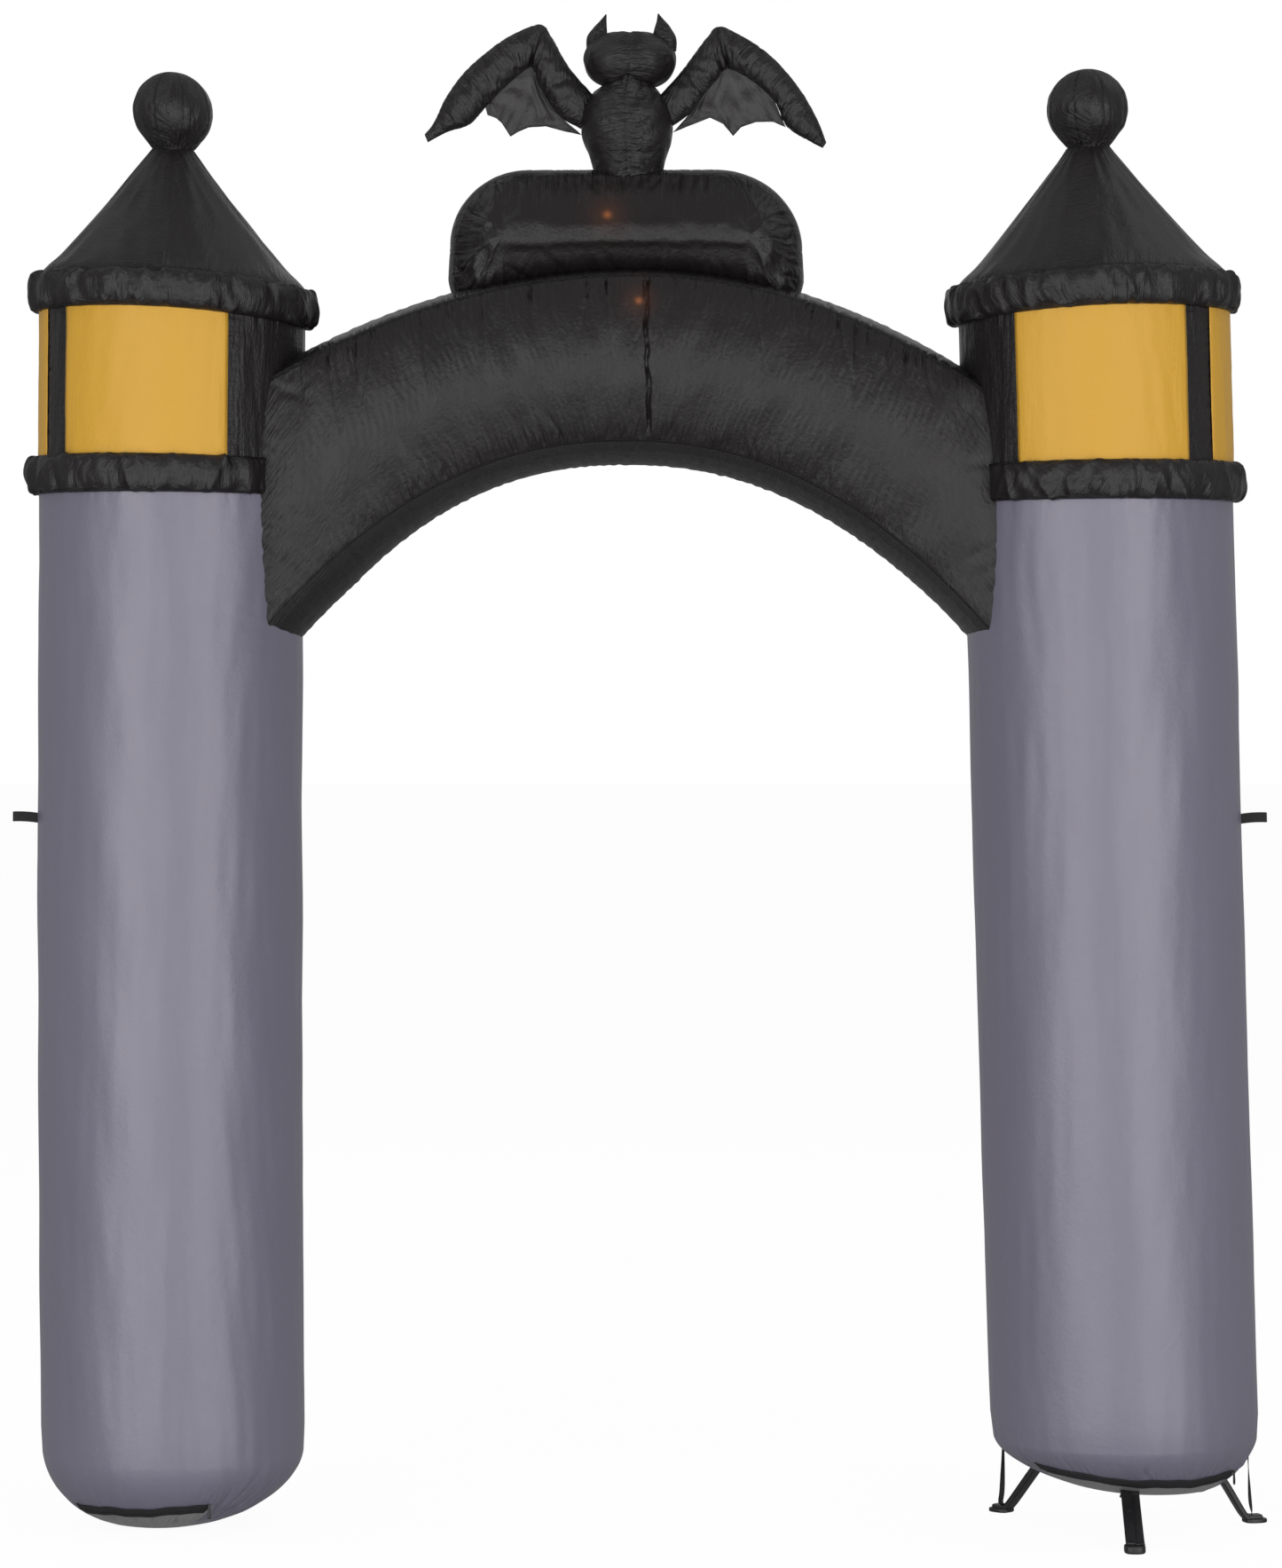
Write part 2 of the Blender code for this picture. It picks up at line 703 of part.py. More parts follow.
def arch_section(share):
    """The ring of points of the arch tube at a share, from -1 to 1, of its span."""
    half_span = (ARCH_X[1] - ARCH_X[0]) / 2
    x = (ARCH_X[0] + ARCH_X[1]) / 2 + half_span * share
    lean = SPOKE_LEAN * math.sin(math.pi * share)
    low, low_normal = seam_point(soffit_z, x - lean)
    top, top_normal = seam_point(top_z, x + lean)
    face = FACE_BULGE * max(0.0, 1 - (x / FACE_BULGE_REACH) ** BULGE_FADE_POWER)
    end_bulge = SOFFIT_BULGE_LEFT if x < 0 else SOFFIT_BULGE_RIGHT
    near_end = min(1.0, (x / SOFFIT_BULGE_REACH) ** BULGE_FADE_POWER)
    soffit = SOFFIT_BULGE + (end_bulge - SOFFIT_BULGE) * near_end
    ring = []
    for i in range(FACE_STEPS):
        across = 2 * i / FACE_STEPS - 1
        x_here, z_here = low + (top - low) * (across + 1) / 2
        ring.append((x_here, -ARCH_HALF_DEPTH - face * (1 - across ** 2), z_here))
    for i in range(STRIP_STEPS):
        across = 2 * i / STRIP_STEPS - 1
        x_here, z_here = top + top_normal * TOP_BULGE * (1 - across ** 2)
        ring.append((x_here, ARCH_HALF_DEPTH * across, z_here))
    for i in range(FACE_STEPS):
        across = 1 - 2 * i / FACE_STEPS
        x_here, z_here = low + (top - low) * (across + 1) / 2
        ring.append((x_here, ARCH_HALF_DEPTH + face * (1 - across ** 2), z_here))
    for i in range(STRIP_STEPS):
        across = 1 - 2 * i / STRIP_STEPS
        x_here, z_here = low - low_normal * soffit * (1 - across ** 2)
        ring.append((x_here, ARCH_HALF_DEPTH * across, z_here))
    return [(x_at, y_at + arch_y(x_at), z_at) for x_at, y_at, z_at in ring]


def make_arch():
    """The arch tube, let into both towers, and the cutters that clear their lower rings."""
    shares = [2 * i / ARCH_STATIONS - 1 for i in range(ARCH_STATIONS + 1)]
    mesh = lofted_mesh([arch_section(share) for share in shares])
    cutter = grown("arch and its seams", mesh)
    arch = add("arch", mesh, "black_cloth")
    for side, tower in TOWERS.items():
        profile = [(TOWER_R + CURVED_GAP, z) for z in ARCH_WALL_Z]
        profile = [(0.0, ARCH_WALL_Z[0]), *profile, (0.0, ARCH_WALL_Z[-1])]
        wall = settle(tower, turned_mesh(profile, TOWER_SIDES))
        cut(arch, add(f"{side} tower wall", wall))
    return cutter


def header_side(corner):
    """Half of the header's outline, from its foot over a round shoulder of a width and rise."""
    across, rise = corner
    foot_in, shoulder_in = HEADER_SIDE_IN
    corner_x, corner_z = HEADER_HALF_WIDTH - shoulder_in - across, HEADER_TOP_Z - rise
    foot_end = top_z(HEADER_X + HEADER_HALF_WIDTH) - HEADER_SINK
    side = [(HEADER_HALF_WIDTH, foot_end), (HEADER_HALF_WIDTH - foot_in, (foot_end + corner_z) / 2)]
    for degrees in range(0, 91, 15):
        angle = math.radians(degrees)
        side.append((corner_x + across * math.cos(angle), corner_z + rise * math.sin(angle)))
    return side + [(x, HEADER_TOP_Z) for x in HEADER_CREST_X]


def header_outline():
    """The header's outline in X and Z: two shoulders, and a foot that follows the arch."""
    left = [(-x, z) for x, z in reversed(header_side(HEADER_CORNER_LEFT))]
    foot = [HEADER_HALF_WIDTH * (i / 4 - 1) for i in range(1, 8)]
    foot_line = [(x, top_z(HEADER_X + x) - HEADER_SINK) for x in foot]
    return header_side(HEADER_CORNER_RIGHT) + left + foot_line


def make_header(arch_cutter):
    """A padded board: its outline drawn in towards a spine as it swells to each side."""
    outline = header_outline()
    sections = []
    for side in (-1, 1):
        for share in sorted(HEADER_SHARES, reverse=side > 0):
            depth = HEADER_HALF_DEPTH + HEADER_BULGE * (1 - share ** HEADER_BULGE_POWER)
            ring = []
            for x, z in outline:
                spine_x = min(max(x, -HEADER_SPINE_HALF), HEADER_SPINE_HALF)
                x_here = HEADER_X + spine_x + (x - spine_x) * share
                z_here = HEADER_SPINE_Z + (z - HEADER_SPINE_Z) * share
                ring.append((x_here, arch_y(x_here) + side * depth, z_here))
            sections.append(ring)
    mesh = lofted_mesh(sections)
    cut(add("header", mesh, "black_cloth"), arch_cutter)
    return grown("header and its seams", mesh)


def oval_stack(sections, sides):
    """A skin through level ovals, one above the other."""
    rings = []
    for section in sections:
        angles = [math.tau * i / sides for i in range(sides)]
        rings.append([(section.x + section.half_width * math.cos(a),
                       arch_y(section.x) + section.half_depth * math.sin(a), section.z)
                      for a in angles])
    return lofted_mesh(rings)


def wing_mesh(ribs):
    """The wing's padded rim: an oval at each rib, as deep as a share of its width."""
    rings = []
    for rib in ribs:
        outer = np.array([rib.outer_x, rib.outer_z])
        inner = np.array([rib.inner_x, rib.inner_z])
        middle, half = (outer + inner) / 2, (outer - inner) / 2
        depth = min(WING_ROUND * 2 * float(np.hypot(*half)), WING_DEPTH)
        ring = []
        for i in range(RIB_SIDES):
            angle = math.tau * i / RIB_SIDES
            x, z = middle + half * math.cos(angle)
            ring.append((x, arch_y(x) + depth * math.sin(angle), z))
        rings.append(ring)
    return lofted_mesh(rings)


def web_mesh(ribs, edge):
    """The thin web inside a wing: its free edge, closed along the rim it is sewn to."""
    rim = [(rib.inner_x, rib.inner_z) for rib in ribs[WEB_RIM]]
    middle = np.mean(rim, axis=0) - (0.0, WEB_FAN_DROP)
    tucked = []
    for point in reversed(rim):
        away = point - middle
        tucked.append(tuple(middle + away * (1 + WEB_TUCK / np.hypot(*away))))
    mesh = outline_mesh([*edge, *tucked], WEB_THICK / 2)
    points = points_of(mesh)
    standing = np.stack([points[:, 0], arch_y(points[:, 0]) + points[:, 2], points[:, 1]], axis=1)
    return cleaned(move_points(mesh, standing))


def make_bat(header_cutter):
    body_mesh = oval_stack(BAT_BODY, BAT_SIDES)
    body_cutter = grown("body and its seams", body_mesh)
    body = add("bat_body", body_mesh, "black_cloth")
    cut(body, header_cutter)
    head_mesh = oval_stack(BAT_HEAD, BAT_SIDES)
    head_cutter = grown("head and its seams", head_mesh)
    add("bat_head", head_mesh, "black_cloth")
    for side in ("left", "right"):
        ear = add(f"bat_{side}_ear", oval_stack(BAT_EARS[side], EAR_SIDES), "black_cloth")
        cut(ear, head_cutter)
        rim_mesh = wing_mesh(WINGS[side])
        rim_cutter = grown(f"{side} wing and its seams", rim_mesh)
        cut(add(f"bat_{side}_wing", rim_mesh, "black_cloth"), body_cutter)
        web = add(f"bat_{side}_web", web_mesh(WINGS[side], WEB_EDGES[side]), "black_cloth")
        cut(web, rim_cutter)
        cut(web, body_cutter)


def strip_mesh(path, middle, width, thickness):
    """A flat strip along a path of (radius, height, bearing) points, its middle set aside."""
    count = len(path) - 1

    def place(u, v):
        radius, z, bearing = path[round(u * count)]
        angle, aside = math.radians(bearing), middle + (v - 0.5) * width
        return (radius * math.cos(angle) - aside * math.sin(angle),
                radius * math.sin(angle) + aside * math.cos(angle), z)

    return sheet_mesh(place, count, 1, thickness)


def wall_radius(tower, bearing_deg, z):
    """The distance from the tower's axis to its wall, which its foot's shift moves aside."""
    angle = math.radians(bearing_deg)
    shift = foot_offset(tower, z)
    across = shift * math.sin(angle)
    return shift * math.cos(angle) + math.sqrt(foot_radius(tower, z) ** 2 - across ** 2)


def underside_z(tower, radius, bearing_deg):
    """The height at which the tower's foot reaches out to a radius, by halving."""
    low, high = tower.foot_z, tower.foot_z + tower.foot_round
    if wall_radius(tower, bearing_deg, low) > radius:
        return low
    for _ in range(30):
        middle = (low + high) / 2
        if wall_radius(tower, bearing_deg, middle) < radius:
            low = middle
        else:
            high = middle
    return high


def make_leg(name, foot, tower):
    """A bar that follows the tower's underside and then drops to its block."""
    rest = foot.block_height + FLAT_GAP + LEG_THICK / 2
    path = []
    for i in range(LEG_BENDS):
        radius = LEG_FROM_R + (foot.bend_r - LEG_FROM_R) * i / (LEG_BENDS - 1)
        under = underside_z(tower, radius, foot.bearing_deg) - foot.leg_under
        path.append((radius, under, foot.bearing_deg))
    for reach, rise in LEG_END:
        path.append((foot.reach + reach, rest + rise, foot.bearing_deg))
    mesh = strip_mesh(path, foot.leg_aside, LEG_WIDTH, LEG_THICK)
    add(f"{name}_leg", settle(tower._replace(foot_shift=0.0), mesh), "black_plastic")


def make_strap(name, foot, tower):
    """A webbing tie from the tower's wall down to the block, over the leg's end or beside it."""
    top_deg, end_deg, top = foot.strap_top_deg, foot.bearing_deg, foot.strap_top_z
    lap = foot.block_height + FLAT_GAP + WEBBING / 2
    if foot.strap_aside == 0.0:
        lap += LEG_THICK + FLAT_GAP
    wall = wall_radius(tower, top_deg, top) + CURVED_GAP + WEBBING / 2
    foot_r, end_r = foot.reach + STRAP_LAP[0], foot.reach + STRAP_LAP[1]
    path = [(wall, top, top_deg), (wall + STRAP_SEAM[0], top - STRAP_SEAM[1], top_deg)]
    for share, fall in STRAP_FALL:
        path.append((wall + (foot_r - wall) * share, top + (lap - top) * fall,
                     top_deg + (end_deg - top_deg) * share))
    path += [(foot_r, lap, end_deg), (end_r, lap, end_deg)]
    mesh = strip_mesh(path, foot.strap_aside, STRAP_WIDTH, WEBBING)
    add(f"{name}_strap", settle(tower._replace(foot_shift=0.0), mesh), "black_webbing")


def make_block(name, foot, tower):
    """The moulded block on the floor at the end of a leg."""
    block = cube_mesh((BLOCK_HALF_LENGTH * 2, BLOCK_HALF_WIDTH * 2, foot.block_height), BLOCK_BEVEL)
    turn = math.radians(foot.bearing_deg)
    x, y, z = points_of(block).T
    x = x + foot.reach
    turned = (x * math.cos(turn) - y * math.sin(turn), x * math.sin(turn) + y * math.cos(turn),
              z + foot.block_height / 2)
    move_points(block, np.stack(turned, axis=1))
    add(f"{name}_block", settle(tower._replace(foot_shift=0.0), block), "black_plastic")


def make_tower(side, tower, arch_cutter):
    make_shaft(side, tower)
    make_drum(side, tower)
    make_roof(side, tower)
    make_ball(side, tower)
    make_zip(side, tower)
    make_tether_tab(side, tower)
    make_upper_ring(side, tower)
    make_lower_ring(side, tower, arch_cutter)


def main():
    arch_cutter = make_arch()
    for side, tower in TOWERS.items():
        make_tower(side, tower, arch_cutter)
    make_bat(make_header(arch_cutter))
    for name, foot in FEET.items():
        make_leg(f"{name}_foot", foot, TOWERS["right"])
        make_strap(f"{name}_foot", foot, TOWERS["right"])
        make_block(f"{name}_foot", foot, TOWERS["right"])


clear_scene()
PIECES = new_collection("inflatable archway")
CUTTERS = new_collection("cutters")
MATERIALS = make_materials()
main()
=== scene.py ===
"""Looks of an inflatable castle archway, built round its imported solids.

Every cloth piece is a surface worked out with numpy on a grid of two parameters, u and v.
Its folds are heights added along the surface's normals, and its weave follows a UV map in
metres. X runs across, -Y is the side with the zips, Z is up and the floor is at 0.
"""

import json
import logging
import math
from dataclasses import dataclass, field
from enum import Enum
from typing import Any, Callable, Optional, Sequence, Union

import bmesh
import bpy
import numpy as np
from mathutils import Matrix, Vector

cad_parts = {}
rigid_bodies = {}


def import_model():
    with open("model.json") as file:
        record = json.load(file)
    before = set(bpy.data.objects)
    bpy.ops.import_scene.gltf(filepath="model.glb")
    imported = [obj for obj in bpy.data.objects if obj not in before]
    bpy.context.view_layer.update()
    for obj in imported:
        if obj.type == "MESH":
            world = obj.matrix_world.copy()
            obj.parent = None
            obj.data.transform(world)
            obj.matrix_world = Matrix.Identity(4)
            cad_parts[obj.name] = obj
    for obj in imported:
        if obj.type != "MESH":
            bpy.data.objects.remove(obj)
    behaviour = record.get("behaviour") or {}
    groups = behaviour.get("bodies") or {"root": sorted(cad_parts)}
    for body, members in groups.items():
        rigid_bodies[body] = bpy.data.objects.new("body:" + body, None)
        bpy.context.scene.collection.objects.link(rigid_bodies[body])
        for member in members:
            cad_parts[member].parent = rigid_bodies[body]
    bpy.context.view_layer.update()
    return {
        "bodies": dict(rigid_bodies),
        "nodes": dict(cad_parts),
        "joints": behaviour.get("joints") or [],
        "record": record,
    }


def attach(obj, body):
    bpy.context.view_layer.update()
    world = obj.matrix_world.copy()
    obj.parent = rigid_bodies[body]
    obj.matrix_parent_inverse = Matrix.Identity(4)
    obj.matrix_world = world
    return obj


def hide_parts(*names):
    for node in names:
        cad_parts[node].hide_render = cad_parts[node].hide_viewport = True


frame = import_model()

LOG = logging.getLogger("archway")
Array = np.ndarray
Number = Union[float, "Shade"]

WELD = 0.00002
UV_NAME = "cloth"
SEAM_NAME = "seam"
ZONE_NAME = "zone"


# Shader maths


class Shade:
    """A socket of a material whose operators add Math nodes to it."""

    def __init__(self, desk: "Desk", socket: bpy.types.NodeSocket) -> None:
        """Keeps the socket and the desk that its material is built on."""
        self.desk = desk
        self.socket = socket

    def math(self, operation: str, *others: Number, first: Optional[float] = None) -> "Shade":
        """Adds a Math node.

        Args:
            operation: the Math node's operation.
            others: the operands that follow this socket.
            first: a number that comes before this socket instead of after it.

        Returns:
            The node's result.
        """
        values = [self, *others] if first is None else [first, self, *others]
        return self.desk.node("ShaderNodeMath", {"operation": operation}, dict(enumerate(values)))

    def __add__(self, other: Number) -> "Shade":
        """This plus other."""
        return self.math("ADD", other)

    def __radd__(self, other: float) -> "Shade":
        """Other plus this."""
        return self.math("ADD", other)

    def __sub__(self, other: Number) -> "Shade":
        """This minus other."""
        return self.math("SUBTRACT", other)

    def __rsub__(self, other: float) -> "Shade":
        """Other minus this."""
        return self.math("SUBTRACT", first=other)

    def __mul__(self, other: Number) -> "Shade":
        """This times other."""
        return self.math("MULTIPLY", other)

    def __rmul__(self, other: float) -> "Shade":
        """Other times this."""
        return self.math("MULTIPLY", other)

    def __truediv__(self, other: Number) -> "Shade":
        """This divided by other."""
        return self.math("DIVIDE", other)

    def __pow__(self, other: float) -> "Shade":
        """This to the power of other."""
        return self.math("POWER", other)

    def wave(self, length: float) -> "Shade":
        """A sine of this distance, from 0 to 1, that repeats every length."""
        return (self * (math.tau / length)).math("SINE") * 0.5 + 0.5

    def step(self, low: float, high: float) -> "Shade":
        """0 below low, 1 above high and smooth between, or the reverse if high is lower."""
        return self.desk.node("ShaderNodeMapRange", {"interpolation_type": "SMOOTHSTEP"},
                              {"Value": self, "From Min": low, "From Max": high})


class Desk:
    """A material being built, and the one method that adds nodes to it."""

    def __init__(self, name: str) -> None:
        """Starts a material with its Principled shader."""
        self.material = bpy.data.materials.new(name)
        self.material.use_nodes = True
        self.nodes = self.material.node_tree.nodes
        self.links = self.material.node_tree.links
        self.shader = self.nodes["Principled BSDF"]

    def connect(self, sockets: Any, values: dict) -> None:
        """Fills sockets.

        Args:
            sockets: a node's inputs.
            values: for each socket's name or number, a Shade to link or a value to set.
        """
        for key, value in values.items():
            if isinstance(value, Shade):
                self.links.new(value.socket, sockets[key])
            else:
                sockets[key].default_value = value

    def node(self, kind: str, settings: Optional[dict] = None, values: Optional[dict] = None,
             out: Union[int, str] = 0) -> Shade:
        """Adds a node.

        Args:
            kind: the node's type.
            settings: the node's properties, which are set first.
            values: what its sockets get, by name or number.
            out: the output to return.

        Returns:
            The output's Shade.
        """
        added = self.nodes.new(kind)
        for key, value in (settings or {}).items():
            setattr(added, key, value)
        self.connect(added.inputs, values or {})
        return Shade(self, added.outputs[out])

    def mix(self, factor: Number, first: Any, second: Any) -> Shade:
        """Mixes two colours.

        Args:
            factor: the share of the second colour.
            first: a colour or a Shade.
            second: a colour or a Shade.

        Returns:
            The mixed colour.
        """
        added = self.nodes.new("ShaderNodeMix")
        added.data_type = "RGBA"
        self.connect(added.inputs, {0: factor, 6: first, 7: second})
        return Shade(self, added.outputs[2])

    def noise(self, vector: Shade, scale: float, detail: float = 2.0, rough: float = 0.5,
              kind: str = "FBM") -> Shade:
        """A Noise Texture's value.

        Args:
            vector: where it is read.
            scale: its cells for each metre.
            detail: its octaves.
            rough: the share of each finer octave.
            kind: the type of noise.

        Returns:
            The noise, from about 0 to 1.
        """
        return self.node("ShaderNodeTexNoise", {"noise_type": kind, "noise_dimensions": "3D"},
                         {"Vector": vector, "Scale": scale, "Detail": detail, "Roughness": rough})

    def stretched(self, vector: Shade, scale: Sequence[float]) -> Shade:
        """A vector multiplied by a scale for each axis."""
        return self.node("ShaderNodeVectorMath", {"operation": "MULTIPLY"},
                         {0: vector, 1: tuple(scale)})

    def bump(self, height: Shade, distance: float, strength: float = 1.0,
             under: Optional[Shade] = None) -> Shade:
        """A normal bent by a height.

        Args:
            height: the height, from 0 to 1.
            distance: what 1 stands for, in metres.
            strength: how much of it is used.
            under: the normal it starts from.

        Returns:
            The normal.
        """
        values = {"Height": height, "Distance": distance, "Strength": strength}
        if under is not None:
            values["Normal"] = under
        return self.node("ShaderNodeBump", {}, values)

    def dress(self, values: dict) -> bpy.types.Material:
        """Fills the Principled shader's sockets and returns the material."""
        self.connect(self.shader.inputs, values)
        return self.material


class Hue(Enum):
    """The archway's colours, as linear RGB."""

    GREY = (0.158, 0.148, 0.202)
    GREY_BASE = (0.235, 0.232, 0.240)
    BLACK = (0.0075, 0.0068, 0.0078)
    BLACK_WARM = (0.0125, 0.0095, 0.0095)
    YELLOW = (0.620, 0.342, 0.038)
    YELLOW_DEEP = (0.470, 0.215, 0.020)
    WEB = (0.0300, 0.0280, 0.0300)
    STRAP = (0.0100, 0.0100, 0.0110)
    THREAD_GREY = (0.120, 0.115, 0.150)
    THREAD_BLACK = (0.0070, 0.0070, 0.0075)
    THREAD_YELLOW = (0.400, 0.190, 0.020)
    THREAD_LIGHT = (0.300, 0.295, 0.290)
    # The colour of the lamp glow that is painted on the black cloth.
    LAMP = (1.0, 0.30, 0.07)

    @property
    def rgba(self) -> tuple:
        """The colour with an alpha of 1."""
        return (*self.value, 1.0)


@dataclass(frozen=True)
class Lamp:
    """A lamp inside, which is not modelled: its light through the cloth is painted on as a warm emission spot.
    Its place, and how wide the painted glow is.
    """

    x: float
    z: float
    reach: float
    power: float


@dataclass(frozen=True)
class Cloth:
    """Satin woven nylon: its colours, gloss, weave, creases and stitched seams."""

    name: str
    colour: Hue
    other: Hue
    thread: Hue
    roughness: float
    specular: float
    mottle: float = 0.5
    crinkle: float = 0.0006
    stitched: bool = True
    gather: float = 0.0
    panel: Optional[Hue] = None
    # Lamps inside whose light through the cloth is painted on as a warm emission glow.
    lamps: tuple = ()

    WEAVE: float = 0.0011
    SLUB: float = 0.10
    STITCH_IN: float = 0.0045
    STITCH_WIDE: float = 0.0011
    STITCH_LONG: float = 0.0060

    def make(self) -> bpy.types.Material:
        """Builds the material.

        The threads run along the UV map's two axes. Slubs are noise stretched along each
        thread. Fine gathers are noise stretched across the nearest seam, and along it in the
        zone. Stitches are dashes at one distance from the nearest seam.

        Returns:
            The material.
        """
        desk = Desk(self.name)
        uv = desk.node("ShaderNodeUVMap", {"uv_map": UV_NAME})
        along = desk.node("ShaderNodeSeparateXYZ", {}, {0: uv})
        across = Shade(desk, along.socket.node.outputs[1])
        warp = desk.noise(desk.stretched(uv, (700.0, 28.0, 1.0)), 1.0, 3.0, 0.6)
        weft = desk.noise(desk.stretched(uv, (28.0, 700.0, 1.0)), 1.0, 3.0, 0.6)
        broad = desk.noise(uv, 3.5, 3.0)
        slub = (warp + weft - 1.0) * self.SLUB
        tone = ((broad - 0.5) * self.mottle + 0.5 + slub * 2.0).step(0.0, 1.0)
        colour = desk.mix(tone, self.colour.rgba, self.other.rgba)
        threads = along.wave(self.WEAVE) * across.wave(self.WEAVE)
        colour = desk.mix((threads - 0.25) * 0.12 + 0.06, colour, self.thread.rgba)
        if self.panel is not None:
            below = desk.node("ShaderNodeAttribute", {"attribute_name": ZONE_NAME}, out="Fac")
            colour = desk.mix(below.step(0.45, 0.55), colour, self.panel.rgba)
        crease = desk.noise(desk.stretched(uv, (1.0, 0.7, 1.0)), 48.0, 4.0, 0.62)
        fine = desk.noise(uv, 150.0, 2.0, 0.5)
        ridges = desk.noise(desk.stretched(uv, (1.0, 0.6, 1.0)), 26.0, 3.0, 0.5, "RIDGED_MULTIFRACTAL")
        normal = desk.bump(crease + fine * 0.35 + ridges * 0.22, self.crinkle)
        if self.gather > 0.0:
            seam = desk.node("ShaderNodeAttribute", {"attribute_name": SEAM_NAME}, out="Fac")
            zone = desk.node("ShaderNodeAttribute", {"attribute_name": ZONE_NAME}, out="Fac")
            down = desk.noise(desk.stretched(uv, (85.0, 9.0, 1.0)), 1.0, 3.0, 0.55)
            aside = desk.noise(desk.stretched(uv, (9.0, 85.0, 1.0)), 1.0, 3.0, 0.55)
            aslant = zone * (0.0 if self.panel is not None else 1.0)
            near = seam.step(0.085, 0.004) * (1.0 - aslant)
            normal = desk.bump(down * near + aside * aslant, self.gather, 1.0, normal)
        normal = desk.bump(threads + (warp + weft) * 0.8, 0.00012, 0.7, normal)
        if self.stitched:
            seam = desk.node("ShaderNodeAttribute", {"attribute_name": SEAM_NAME}, out="Fac")
            line = (seam - self.STITCH_IN).math("ABSOLUTE").step(self.STITCH_WIDE, 0.0002)
            dash = (along + across).wave(self.STITCH_LONG).step(0.25, 0.45)
            stitch = line * dash
            colour = desk.mix(stitch * 0.85, colour, self.thread.rgba)
            hem = seam.step(0.0, self.STITCH_IN)
            normal = desk.bump(hem - line * 0.5, 0.0008, 0.8, normal)
        rough = self.roughness + (broad - 0.5) * 0.10 + (crease - 0.5) * 0.08
        values = {"Base Color": colour, "Roughness": rough, "Normal": normal,
                  "Specular IOR Level": self.specular}
        # Painted glow: the light of the lamps inside, which are not modelled, is painted on the cloth as
        # emission colour.
        if self.lamps:
            values["Emission Color"] = self.painted_glow(desk)
            values["Emission Strength"] = 1.0
        return desk.dress(values)

    def painted_glow(self, desk: Desk) -> Shade:
        """The painted glow of the lamps inside: their light through the cloth, painted as a warm emission spot
        that falls off with distance.

        Args:
            desk: the material being built.

        Returns:
            The emitted colour.
        """
        place = desk.node("ShaderNodeTexCoord", out="Object")
        light: Optional[Shade] = None
        for lamp in self.lamps:
            away = desk.node("ShaderNodeVectorMath", {"operation": "SUBTRACT"},
                             {0: place, 1: (lamp.x, 0.0, lamp.z)})
            flat = desk.stretched(away, (1.0, 0.0, 1.0))
            far = desk.node("ShaderNodeVectorMath", {"operation": "LENGTH"}, {0: flat}, out="Value")
            halo = (far / lamp.reach).math("MULTIPLY", far / lamp.reach) * -1.0
            core = (far / (lamp.reach * 0.22)).math("MULTIPLY", far / (lamp.reach * 0.22)) * -1.0
            spot = (halo.math("EXPONENT") * 0.14 + core.math("EXPONENT")) * lamp.power
            light = spot if light is None else light + spot
        return desk.mix(light.math("MINIMUM", 1.0), (0.0, 0.0, 0.0, 1.0), Hue.LAMP.rgba)


@dataclass(frozen=True)
class Webbing:
    """Woven webbing: ribs across it, which follow its UV map, and lines of stitches where it is stitched."""

    name: str
    colour: Hue
    rib: float = 0.0018
    roughness: float = 0.62
    stitched: bool = False

    def make(self) -> bpy.types.Material:
        """Builds the material and returns it."""
        desk = Desk(self.name)
        uv = desk.node("ShaderNodeUVMap", {"uv_map": UV_NAME})
        along = desk.node("ShaderNodeSeparateXYZ", {}, {0: uv})
        across = Shade(desk, along.socket.node.outputs[1])
        ribs = along.wave(self.rib) * 0.6 + across.wave(self.rib * 0.7) * 0.4
        wear = desk.noise(uv, 90.0, 3.0)
        light = tuple(3.2 * c for c in self.colour.value) + (1.0,)
        colour = desk.mix(ribs * 0.35 + wear * 0.35, self.colour.rgba, light)
        if self.stitched:
            line = (across.math("ABSOLUTE") - 0.0075).math("ABSOLUTE").step(0.0011, 0.0003)
            cross = (along.math("ABSOLUTE") - 0.0110).math("ABSOLUTE").step(0.0011, 0.0003)
            dash = (along + across).wave(0.0045).step(0.3, 0.5)
            inside = along.math("ABSOLUTE").step(0.0125, 0.0118)
            stitches = line.math("MAXIMUM", cross) * dash * inside
            colour = desk.mix(stitches, colour, Hue.THREAD_LIGHT.rgba)
        normal = desk.bump(ribs + wear * 0.4, 0.0004, 0.8)
        return desk.dress({"Base Color": colour, "Roughness": self.roughness + wear * 0.12,
                           "Normal": normal, "Specular IOR Level": 0.35})


@dataclass(frozen=True)
class Moulded:
    """Moulded plastic: a fine grain, and scuffs that lighten it a little."""

    name: str
    colour: Hue
    roughness: float = 0.38

    def make(self) -> bpy.types.Material:
        """Builds the material and returns it."""
        desk = Desk(self.name)
        place = desk.node("ShaderNodeTexCoord", out="Object")
        grain = desk.noise(place, 900.0, 2.0)
        scuff = desk.noise(desk.stretched(place, (60.0, 60.0, 240.0)), 1.0, 4.0).step(0.55, 0.8)
        light = tuple(3.0 * c for c in self.colour.value) + (1.0,)
        colour = desk.mix(scuff * 0.6 + grain * 0.15, self.colour.rgba, light)
        return desk.dress({"Base Color": colour, "Normal": desk.bump(grain, 0.0002, 0.6),
                           "Roughness": self.roughness + scuff * 0.2 + grain * 0.06})


# Surfaces


def smooth(value: Array) -> Array:
    """0 to 1 as an s-shaped curve: 3v^2 - 2v^3 of the clipped value."""
    value = np.clip(value, 0.0, 1.0)
    return value * value * (3.0 - 2.0 * value)


def lengths(points: Array, axis: int) -> Array:
    """Adds up the distance between neighbouring points along one axis of a grid.

    Args:
        points: the grid, with its coordinates last.
        axis: the axis to walk along.

    Returns:
        The distance from the axis's first point, at each point.
    """
    steps = np.linalg.norm(np.diff(points, axis=axis), axis=-1)
    return np.concatenate([np.zeros_like(np.take(steps, [0], axis)), np.cumsum(steps, axis)], axis)


